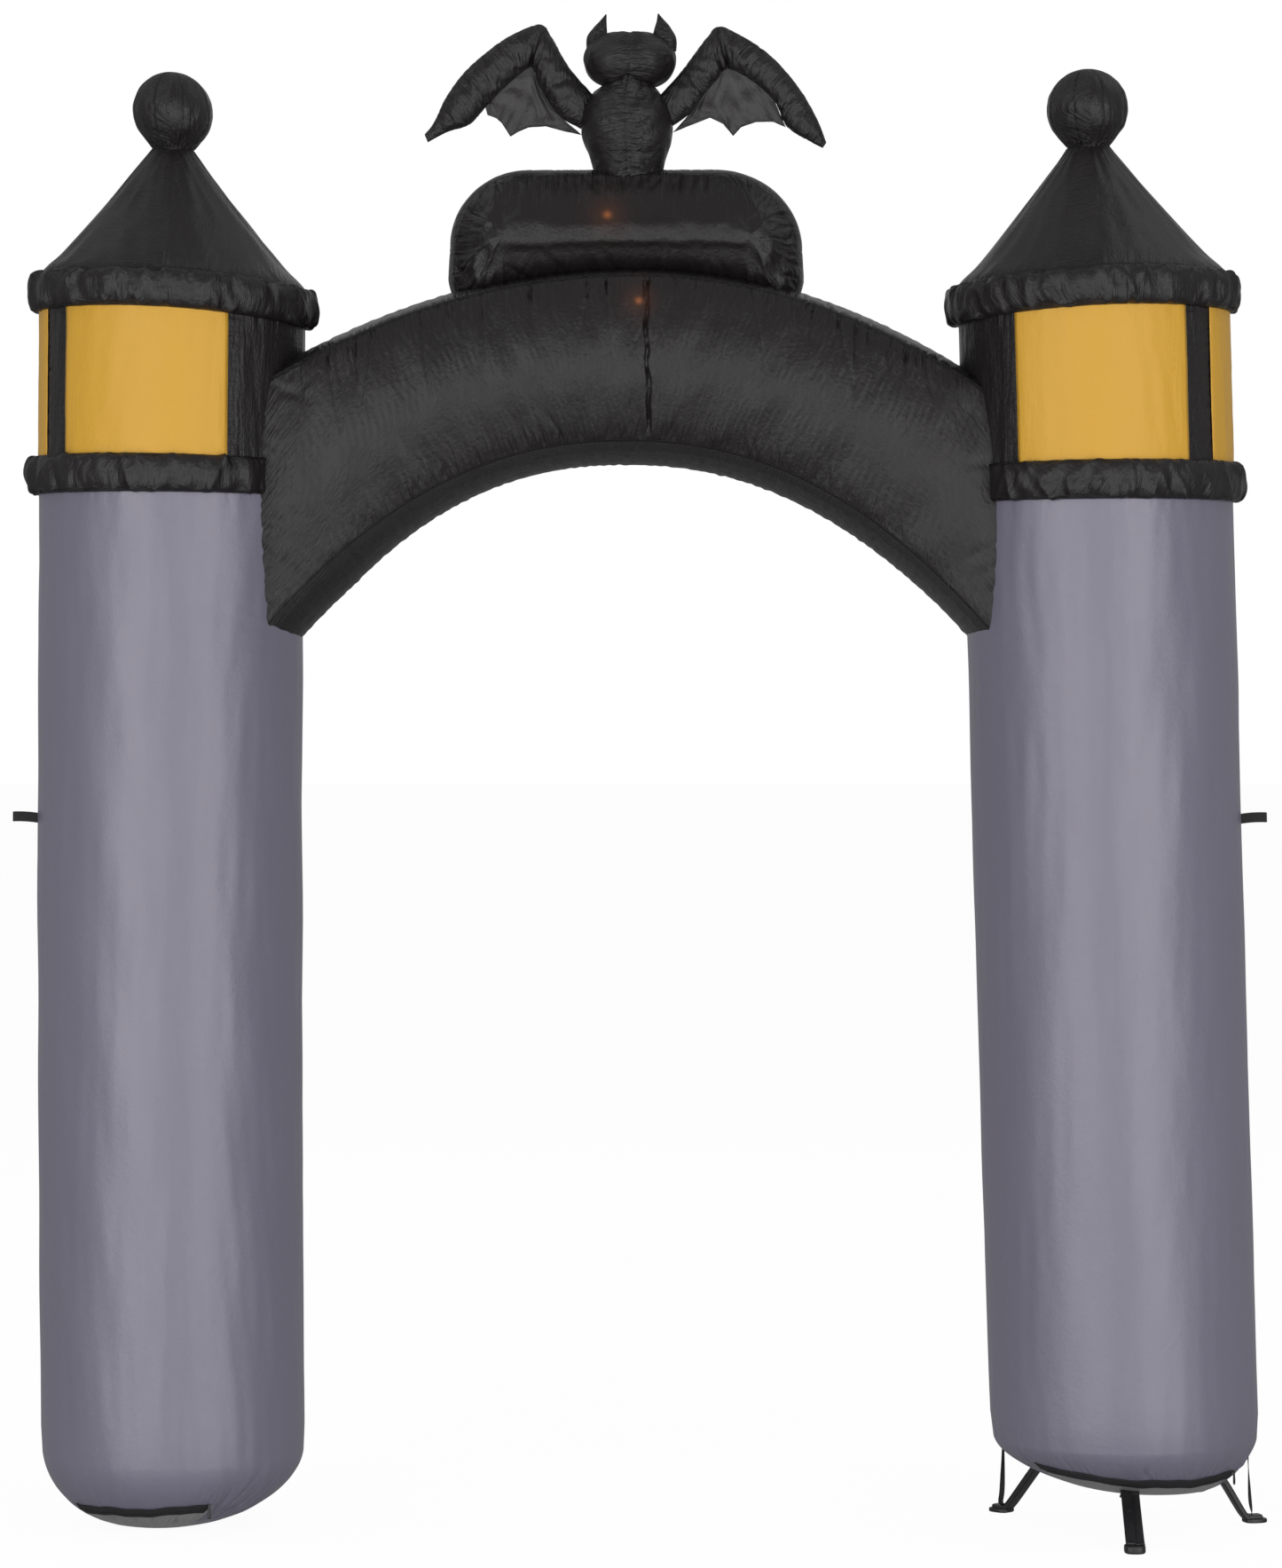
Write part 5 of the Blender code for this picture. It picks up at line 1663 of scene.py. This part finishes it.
        piece = shop.add(name + "_cloth", surface.mesh(name), "black_cloth", "black_cloth",
                         [name], Form.PAD, 0.9)
        self.inflation.blow(piece)

    def web(self, shop: Workshop, side: str, ribs: Sequence, edge: Sequence) -> None:
        """A wing's thin web: lines from the rim to the scalloped edge, with folds from its points.

        Args:
            shop: what adds the piece.
            side: "left" or "right".
            ribs: the wing's ribs.
            edge: the web's free edge.
        """
        rng = np.random.default_rng(self.seed + 19 + len(side))
        rim = smooth_path(np.array(ribs)[slice(*self.web_ribs), 2:], 20)
        free = np.array(edge)
        even = np.linspace(0.0, 1.0, 121)
        ends = []
        for line in (rim, free):
            reach = lengths(line, 0)
            ends.append(np.stack([np.interp(even * reach[-1], reach, line[:, i]) for i in (0, 1)], 1))
        v = np.linspace(-0.06, 1.0, 34)[None, :, None]
        xz = ends[0][:, None] + (ends[1] - ends[0])[:, None] * v
        s = lengths(xz, 0)
        t = lengths(xz, 1)
        folds = Gather(0.034, (0.03, 0.10), (0.005, 0.010), (0.0010, 0.0040), 0.4)
        sway = folds.along(rng, 0, float(s[:, 0].max())).height(s, t)
        sway += 0.0022 * ripple(rng, s, t, 0.05, 0.08)
        y = sway * smooth(v[..., 0] / 0.15) + self.arch.middle_y(xz[..., 0])
        points = np.stack([xz[..., 0], y, xz[..., 1]], -1)
        cell = np.linalg.norm(np.cross(points[1:, :-1] - points[:-1, :-1],
                                       points[:-1, 1:] - points[:-1, :-1]), axis=-1)
        area = float(cell.sum())
        size = np.ptp(xz.reshape(-1, 2), axis=0)
        surface = Surface(points, uv=np.stack([s, t], -1),
                          seam=(1 - v[..., 0]) * t[:, -1:])
        name = f"bat_{side}_web"
        shop.add(name + "_cloth", surface.mesh(name), "web_cloth", "black_cloth", [name],
                 Form.SHEET, flat=(float(size[1]), float(size[0])), area=area, thickness=0.0010)

    def build(self, shop: Workshop) -> None:
        """Builds the bat's pieces.

        Args:
            shop: what adds them.
        """
        neck = Gather(0.016, (0.015, 0.050), (0.0035, 0.0060), (0.0012, 0.0036), 0.2)
        hem = Gather(0.024, (0.020, 0.070), (0.0045, 0.0080), (0.0016, 0.0046), 0.2)
        across = Gather(0.012, (0.008, 0.024), (0.0030, 0.0046), (0.0005, 0.0018), 0.25)
        tiny = Gather(0.012, (0.008, 0.020), (0.0025, 0.0040), (0.0005, 0.0016), 0.2)
        self.stack(shop, "bat_body", self.body, 9, 120, (hem, neck, across), 0.0035)
        turn = np.linspace(-1.48, 1.48, 25)
        plan = np.cos(turn) ** self.head_power
        head = np.stack([self.head_middle[0] + self.head_half[0] * np.sin(turn),
                         0 * turn + self.head_middle[1], self.head_half[1] * plan,
                         self.head_half[2] * plan], 1)
        self.stack(shop, "bat_head", head, 3, 120, (neck, tiny, across), 0.0022)
        for (side, ovals), (_, ribs), edge in zip(self.ears, self.wings, self.web_edges):
            self.stack(shop, f"bat_{side}_ear", ovals, 9, 48, (tiny, tiny, tiny), 0.0012)
            self.wing(shop, side, ribs)
            self.web(shop, side, ribs, edge)


# Webbing, zips and the stand


def superellipse(turn: Array, power: float) -> tuple:
    """The cosine and sine of angles, each raised to 2 / power, which squares a circle."""
    return tuple(np.sign(f(turn)) * np.abs(f(turn)) ** (2 / power) for f in (np.cos, np.sin))


def bar_along(path: Array, aside: Array, width: Any, thick: Any, power: float = 5.0) -> Surface:
    """A flat bar along a path, its section a superellipse of a width and a thickness.

    Args:
        path: the middle's points.
        aside: the unit direction of the width at each point.
        width: the width, one for all or one for each point.
        thick: the thickness, given in the same way.
        power: how square the section is.

    Returns:
        The closed bar, its UV along it and round it.
    """
    along = np.gradient(path, axis=0)
    along /= np.linalg.norm(along, axis=1, keepdims=True)
    up = np.cross(along, aside)
    up /= np.linalg.norm(up, axis=1, keepdims=True)
    turn = np.linspace(0.0, math.tau, 41)
    wide, high = superellipse(turn, power)
    width, thick = (np.broadcast_to(size, len(path))[:, None] for size in (width, thick))
    points = (path[:, None] + aside[:, None] * (wide * width / 2)[..., None]
              + up[:, None] * (high * thick / 2)[..., None])
    run = lengths(path, 0)
    run = np.concatenate([run[:1], run, run[-1:]])
    across = np.broadcast_to(wide * width.max() / 2, (len(run), len(turn)))
    uv = np.stack([np.broadcast_to(run[:, None] - run.max(), across.shape), across], -1)
    return Surface(closed_tube(points), (False, True), uv)


def rounded_box(size: Sequence[float], power: float = 7.0, plan_power: float = 7.0) -> Array:
    """A box whose edges are rounded: a superellipse in plan and in height.

    Args:
        size: its size along each axis.
        power: how square it is in height.
        plan_power: how square it is in plan.

    Returns:
        The grid, about the origin.
    """
    turn = np.linspace(0.0, math.tau, 81)[None, :]
    rise = np.linspace(-math.pi / 2, math.pi / 2, 33)[:, None]
    x, y = superellipse(turn, plan_power)
    plan, z = superellipse(rise, power)
    return np.stack([x * plan * size[0] / 2, y * plan * size[1] / 2,
                     (z + 0 * x) * size[2] / 2], -1)


@dataclass
class Trim:
    """A tower's webbing tab, its zip and the zip's pull."""

    tower: Tower
    tab_z: float = 1.428
    tab_length: float = 0.052
    tab_width: float = 0.020
    tab_gap: float = 0.0064
    webbing: float = 0.0016
    rise: float = 0.16
    droop: float = 2.0
    zip_width: float = 0.018
    zip_thick: float = 0.0024
    tooth: float = 0.0026
    pull: tuple = (0.008, 0.003, 0.030)

    def tab(self, shop: Workshop) -> None:
        """The tab: webbing folded into a flat loop, which rises and droops as a parabola.

        Args:
            shop: what adds the piece.
        """
        tower, half = self.tower, (self.tab_gap + self.webbing) / 2
        tip = self.tab_length - half - self.webbing / 2
        turn = np.linspace(math.pi / 2, -math.pi / 2, 25)
        bend = np.stack([tip + half * np.cos(turn), half * np.sin(turn)], 1)
        run = np.linspace(-0.004, tip, 24)[:-1]
        line = np.concatenate([np.stack([run, 0 * run + half], 1), bend,
                               np.stack([run[::-1], 0 * run - half], 1)])
        x, y = line.T
        z = self.rise * x - self.droop * x * x + self.tab_z
        path = np.stack([(x + tower.radius + 0.0003) * -tower.arch_side, y, z], 1)
        aside = np.broadcast_to([0.0, 0.0, 1.0], path.shape)
        surface = bar_along(path, aside, self.tab_width, self.webbing)
        surface.points = tower.settled(surface.points)
        name = f"{tower.side}_tether_tab"
        shop.add(name + "_web", surface.mesh(name), "webbing", "black_webbing", [name])

    def zip(self, shop: Workshop) -> None:
        """The zip: tape along the foot's curve, with teeth as a row of ridges along its middle.

        Each tooth is a raised half wave along the tape, and the two rows lie half a tooth
        apart on each side of the middle.

        Args:
            shop: what adds the pieces.
        """
        tower = self.tower
        start, end = (math.radians(d) for d in tower.zip_deg)
        count = round((end - start) * tower.radius / (self.tooth / 4))
        u = np.linspace(0.0, 1.0, count)[:, None]
        v = np.linspace(-0.5, 0.5, 13)[None, :] * self.zip_width
        s = (start + u * (end - start)) * tower.radius
        z = tower.zip_height(s) + v
        slope = (tower.foot_radius(z + 0.004) - tower.foot_radius(z - 0.004)) / 0.008
        row = np.where(v < 0, 0.0, 0.5)
        tooth = np.sin(math.pi * ((s / self.tooth + row) % 1.0)) ** 0.7
        rib = smooth((0.0034 - np.abs(v)) / 0.0008)
        lift = 0.0006 + self.zip_thick / 2 + rib * (0.0005 + 0.0013 * tooth)
        z = z + 0.0016 * np.sin(s * 34.0) + 0.0008 * np.sin(s * 83.0)
        out = lift / np.hypot(1.0, slope)
        points = tower.wall(s, tower.foot_radius(z) + out, z - out * slope)
        surface = Surface(tower.settled(points), uv=np.stack([s + 0 * v, v + 0 * s], -1))
        name = f"{tower.side}_zip"
        shop.add(name + "_tape", surface.mesh(name), "zip_tape", "zip_tape", [name],
                 thickness=self.zip_thick * 0.8)
        top = tower.zip_z[2] + self.zip_width / 2
        bearing = end - math.radians(1.0)
        out = float(tower.foot_radius(np.array(top))) + 0.0006 + self.zip_thick + self.pull[1] / 2
        box = rounded_box(self.pull, 4.0, 4.0)
        box[..., 0] *= 0.72 + 0.28 * smooth((-box[..., 2] / self.pull[2] + 0.1) / 0.4)
        x, y = box[..., 0], box[..., 1]
        turned = np.stack([x * math.cos(bearing) - y * math.sin(bearing) + out * math.sin(bearing),
                           x * math.sin(bearing) + y * math.cos(bearing) - out * math.cos(bearing),
                           box[..., 2] + top - self.pull[2] / 2], -1)
        low = min(max((top - tower.foot_z) / tower.foot_round, 0.0), 1.0)
        hung = tower.settled(turned, foot=False) + [tower.foot_shift * (1 - low) ** 2, 0.0, 0.0]
        name = f"{tower.side}_zip_pull"
        shop.add(name + "_tag", Surface(hung, (False, True)).mesh(name), "plastic",
                 "black_plastic", [name])

    def build(self, shop: Workshop) -> None:
        """Builds the tab, the zip and its pull."""
        self.tab(shop)
        self.zip(shop)


@dataclass
class Foot:
    """One foot of the stand: a leg under the tower, a block on the floor and a strap.

    Its bearing is counted from +X towards +Y.
    """

    name: str
    bearing_deg: float
    bend_r: float
    reach: float
    block_height: float
    leg_under: float
    leg_aside: float
    strap_aside: float
    strap_top_deg: float
    strap_top_z: float
    leg_width: float = 0.031
    leg_depth: tuple = (0.020, 0.009)
    leg_thick: float = 0.004
    strap_width: float = 0.011
    strap_turn: float = 0.9
    strap_fall: tuple = ((0.12, 0.45), (0.30, 0.78), (0.75, 0.95))
    strap_thick: float = 0.0016
    strap_finish: str = "webbing"
    block: tuple = (0.048, 0.042)

    def wall_radius(self, tower: Tower, bearing: float, z: Array) -> Array:
        """The distance from the tower's axis to its wall, which its foot's shift moves aside.

        Args:
            tower: the tower.
            bearing: the direction, in radians.
            z: the heights.

        Returns:
            The distances.
        """
        low = np.clip((z - tower.foot_z) / tower.foot_round, 0.0, 1.0)
        shift = tower.foot_shift * (1 - low) ** 2
        across = shift * math.sin(bearing)
        return shift * math.cos(bearing) + np.sqrt(tower.foot_radius(z) ** 2 - across ** 2)

    def strip(self, tower: Tower, path: Array, aside: float, width: float, thick: tuple,
              turn: float = 0.0) -> Surface:
        """A bar along a path of radius, height and bearing, its middle set aside.

        It grows downwards from its upper face where it is thicker than the thinnest part, a
        bar of two thicknesses starts thin, and
        it turns about its own line by an angle that is greatest half way along.

        Args:
            tower: the tower that it stands under.
            path: the points.
            aside: how far its middle lies beside the path.
            width: its width.
            thick: its thickness at both ends.
            turn: the angle that it turns, in radians.

        Returns:
            The bar, in place.
        """
        radius, z, bearing = smooth_path(path, 12).T
        share = np.linspace(0.0, 1.0, len(z))
        depth = thick[0] + (thick[1] - thick[0]) * share
        depth *= 1.0 if thick[0] == thick[1] else 0.25 + 0.75 * smooth(share / 0.4)
        twist = turn * np.sin(math.pi * smooth(share)) ** 2
        side = np.stack([-np.sin(bearing), np.cos(bearing), 0 * z], 1)
        out = np.stack([np.cos(bearing), np.sin(bearing), 0 * z], 1)
        lower = z - (depth - min(self.leg_thick, *thick)) / 2 * (1 - smooth(share / 0.9))
        line = np.stack([radius * np.cos(bearing), radius * np.sin(bearing), lower], 1) + side * aside
        face = side * np.cos(twist)[:, None] + out * np.sin(twist)[:, None]
        surface = bar_along(line, face, width, depth)
        surface.points = tower.settled(surface.points, foot=False)
        return surface

    def build(self, shop: Workshop, tower: Tower) -> None:
        """Builds the leg, the strap and the block.

        Args:
            shop: what adds them.
            tower: the tower that they stand under.
        """
        bearing, top_bearing = math.radians(self.bearing_deg), math.radians(self.strap_top_deg)
        heights = np.linspace(tower.foot_z, tower.foot_z + tower.foot_round, 400)
        walls = self.wall_radius(tower, bearing, heights)
        radius = np.linspace(0.10, self.bend_r, 6)
        under = np.interp(radius, walls, heights) - self.leg_under
        rest = self.block_height + 0.0003 + self.leg_thick / 2
        path = [(r, z, bearing) for r, z in zip(radius, under)]
        path += [(self.reach - 0.024, rest + 0.006, bearing), (self.reach - 0.010, rest, bearing),
                 (self.reach + 0.012, rest, bearing)]
        leg = self.strip(tower, np.array(path), self.leg_aside, self.leg_width, self.leg_depth)
        shop.add(f"{self.name}_leg_bar", leg.mesh("leg"), "plastic", "black_plastic",
                 [f"{self.name}_foot_leg"])
        lap = self.block_height + 0.0003 + self.strap_thick / 2
        if self.strap_aside == 0.0:
            lap += self.leg_thick + 0.0003
        top = self.strap_top_z
        wall = float(self.wall_radius(tower, top_bearing, np.array(top)))
        wall += 0.0006 + self.strap_thick / 2
        first, last = self.reach - 0.004, self.reach + 0.012
        path = [(wall, top, top_bearing), (wall + 0.0005, top - 0.012, top_bearing)]
        for share, fall in self.strap_fall:
            path.append((wall + (first - wall) * share, top + (lap - top) * fall,
                         top_bearing + (bearing - top_bearing) * share))
        path += [(first, lap, bearing), (last, lap, bearing)]
        strap = self.strip(tower, np.array(path), self.strap_aside, self.strap_width,
                           (self.strap_thick, self.strap_thick), self.strap_turn)
        shop.add(f"{self.name}_strap_web", strap.mesh("strap"), self.strap_finish, "black_webbing",
                 [f"{self.name}_foot_strap"])
        box = rounded_box((*self.block, self.block_height), 5.0, 3.0)
        x, y, z = np.moveaxis(box, -1, 0)
        x = x + self.reach
        turned = np.stack([x * math.cos(bearing) - y * math.sin(bearing),
                           x * math.sin(bearing) + y * math.cos(bearing),
                           z + self.block_height / 2], -1)
        surface = Surface(tower.settled(turned, foot=False), (False, True))
        shop.add(f"{self.name}_block_foot", surface.mesh("block"), "plastic", "black_plastic",
                 [f"{self.name}_foot_block"])


def studio() -> None:
    """Builds the pale floor, the soft light and the camera of the photograph's view."""
    scene = bpy.context.scene
    floor_mesh = bpy.data.meshes.new("floor")
    reach = 60.0
    floor_mesh.from_pydata([(-reach, -reach, 0), (reach, -reach, 0), (reach, reach, 0),
                            (-reach, reach, 0)], [], [(0, 1, 2, 3)])
    floor = bpy.data.objects.new("floor", floor_mesh)
    scene.collection.objects.link(floor)
    floor.visible_diffuse = False
    floor.visible_glossy = False
    floor.visible_shadow = False
    desk = Desk("floor")
    floor_mesh.materials.append(desk.dress({
        "Base Color": (0.08, 0.08, 0.08, 1.0), "Roughness": 0.9, "Specular IOR Level": 0.0,
        "Emission Color": (1.0, 1.0, 1.0, 1.0), "Emission Strength": 0.95}))
    world = bpy.data.worlds.new("studio")
    scene.world = world
    world.use_nodes = True
    nodes, links = world.node_tree.nodes, world.node_tree.links
    path = nodes.new("ShaderNodeLightPath")
    way = nodes.new("ShaderNodeTexCoord")
    rise = nodes.new("ShaderNodeSeparateXYZ")
    ambient = nodes.new("ShaderNodeMapRange")
    links.new(way.outputs["Generated"], rise.inputs[0])
    links.new(rise.outputs[2], ambient.inputs["Value"])
    for key, value in (("From Min", -0.9), ("From Max", 0.1), ("To Min", 0.16), ("To Max", 0.33)):
        ambient.inputs[key].default_value = value
    mix = nodes.new("ShaderNodeMix")
    mix.data_type = "FLOAT"
    mix.inputs[3].default_value = 1.0
    links.new(ambient.outputs[0], mix.inputs[2])
    links.new(path.outputs["Is Camera Ray"], mix.inputs[0])
    links.new(mix.outputs[0], nodes["Background"].inputs["Strength"])
    nodes["Background"].inputs["Color"].default_value = (1.0, 1.0, 1.0, 1.0)
    for name, place, size, power in (("left_softbox", (-4.3, -7.4, 1.9), (6.6, 5.4), 326.0),
                                     ("right_softbox", (4.3, -7.4, 1.9), (6.6, 5.4), 326.0),
                                     ("left_low_softbox", (-4.3, -7.4, -2.8), (6.6, 4.0), 92.0),
                                     ("right_low_softbox", (4.3, -7.4, -2.8), (6.6, 4.0), 92.0),
                                     ("left_top_softbox", (-4.2, 0.8, 8.0), (5.0, 5.0), 46.0),
                                     ("right_top_softbox", (4.2, 0.8, 8.0), (5.0, 5.0), 46.0),
                                     ("rear_softbox", (0.0, 9.0, 4.0), (8.0, 4.0), 40.0)):
        light = bpy.data.lights.new(name, "AREA")
        light.shape, light.size, light.size_y, light.energy = "RECTANGLE", *size, power
        lamp = bpy.data.objects.new(name, light)
        scene.collection.objects.link(lamp)
        lamp.location = place
        aim = Vector((0.0, 0.0, 1.75)) - Vector(place)
        lamp.rotation_euler = aim.to_track_quat("-Z", "Y").to_euler()
    camera = bpy.data.objects.new("camera", bpy.data.cameras.new("camera"))
    scene.collection.objects.link(camera)
    camera.data.sensor_width = 36.0
    camera.data.lens = 36.0 * 6346.0 / 1767.0
    camera.data.clip_end = 200.0
    camera.location = (0.0, -11.3, 1.78)
    aim = Vector((0.0, 0.0, 1.4975)) - Vector(camera.location)
    camera.rotation_euler = aim.to_track_quat("-Z", "Y").to_euler()
    scene.camera = camera
    scene.view_settings.view_transform = "Standard"


TOWERS = (
    Tower("left", -0.944, 0.050, 0.995, 0.001, -0.007, -0.060, -0.030, 0.0, 0.045, 0.150, 1.8,
          (2.076, 2.149), ((-47.5, 28.6), (-111.6, -63.6), (156.3, 232.4)),
          (-57.0, 26.0), (0.051, 0.053, 0.0615), 1, 0.2034, 1.800, 101),
    Tower("right", 0.9775, -0.010, 1.008, -0.0298, -0.001, 0.045, 0.055, 0.082, 0.100, 0.105, 1.45,
          (2.061, 2.136), ((-39.3, 37.3), (52.8, 100.8), (116.3, 192.9)),
          (-54.0, 60.0), (0.147, 0.119, 0.126), -1, 0.2285, 1.780, 202),
)

FEET = (
    Foot("near", -92.0, 0.155, 0.312, 0.018, 0.0038, -0.0070, 0.0100, -92.0, 0.099,
         leg_width=0.020, leg_depth=(0.006, 0.006), strap_width=0.020, strap_turn=0.0,
         strap_fall=((0.5, 0.62), (0.85, 0.92)), strap_finish="stitched_webbing"),
    Foot("right", 16.0, 0.200, 0.274, 0.010, 0.0033, 0.0, 0.0, 10.0, 0.165),
    Foot("rear", 138.0, 0.200, 0.318, 0.010, 0.0038, 0.0, 0.0, 158.0, 0.170),
)


def main() -> None:
    """Builds the archway's pieces in order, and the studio."""
    logging.basicConfig(level=logging.INFO, format="%(name)s: %(message)s")
    shop = Workshop()
    arch = Arch()
    for tower in TOWERS:
        tower.build(shop)
        Trim(tower).build(shop)
    for foot in FEET:
        foot.build(shop, TOWERS[-1])
    arch.build(shop)
    Header(arch).build(shop)
    Bat(arch).build(shop)
    studio()


if __name__ == "__main__":
    main()
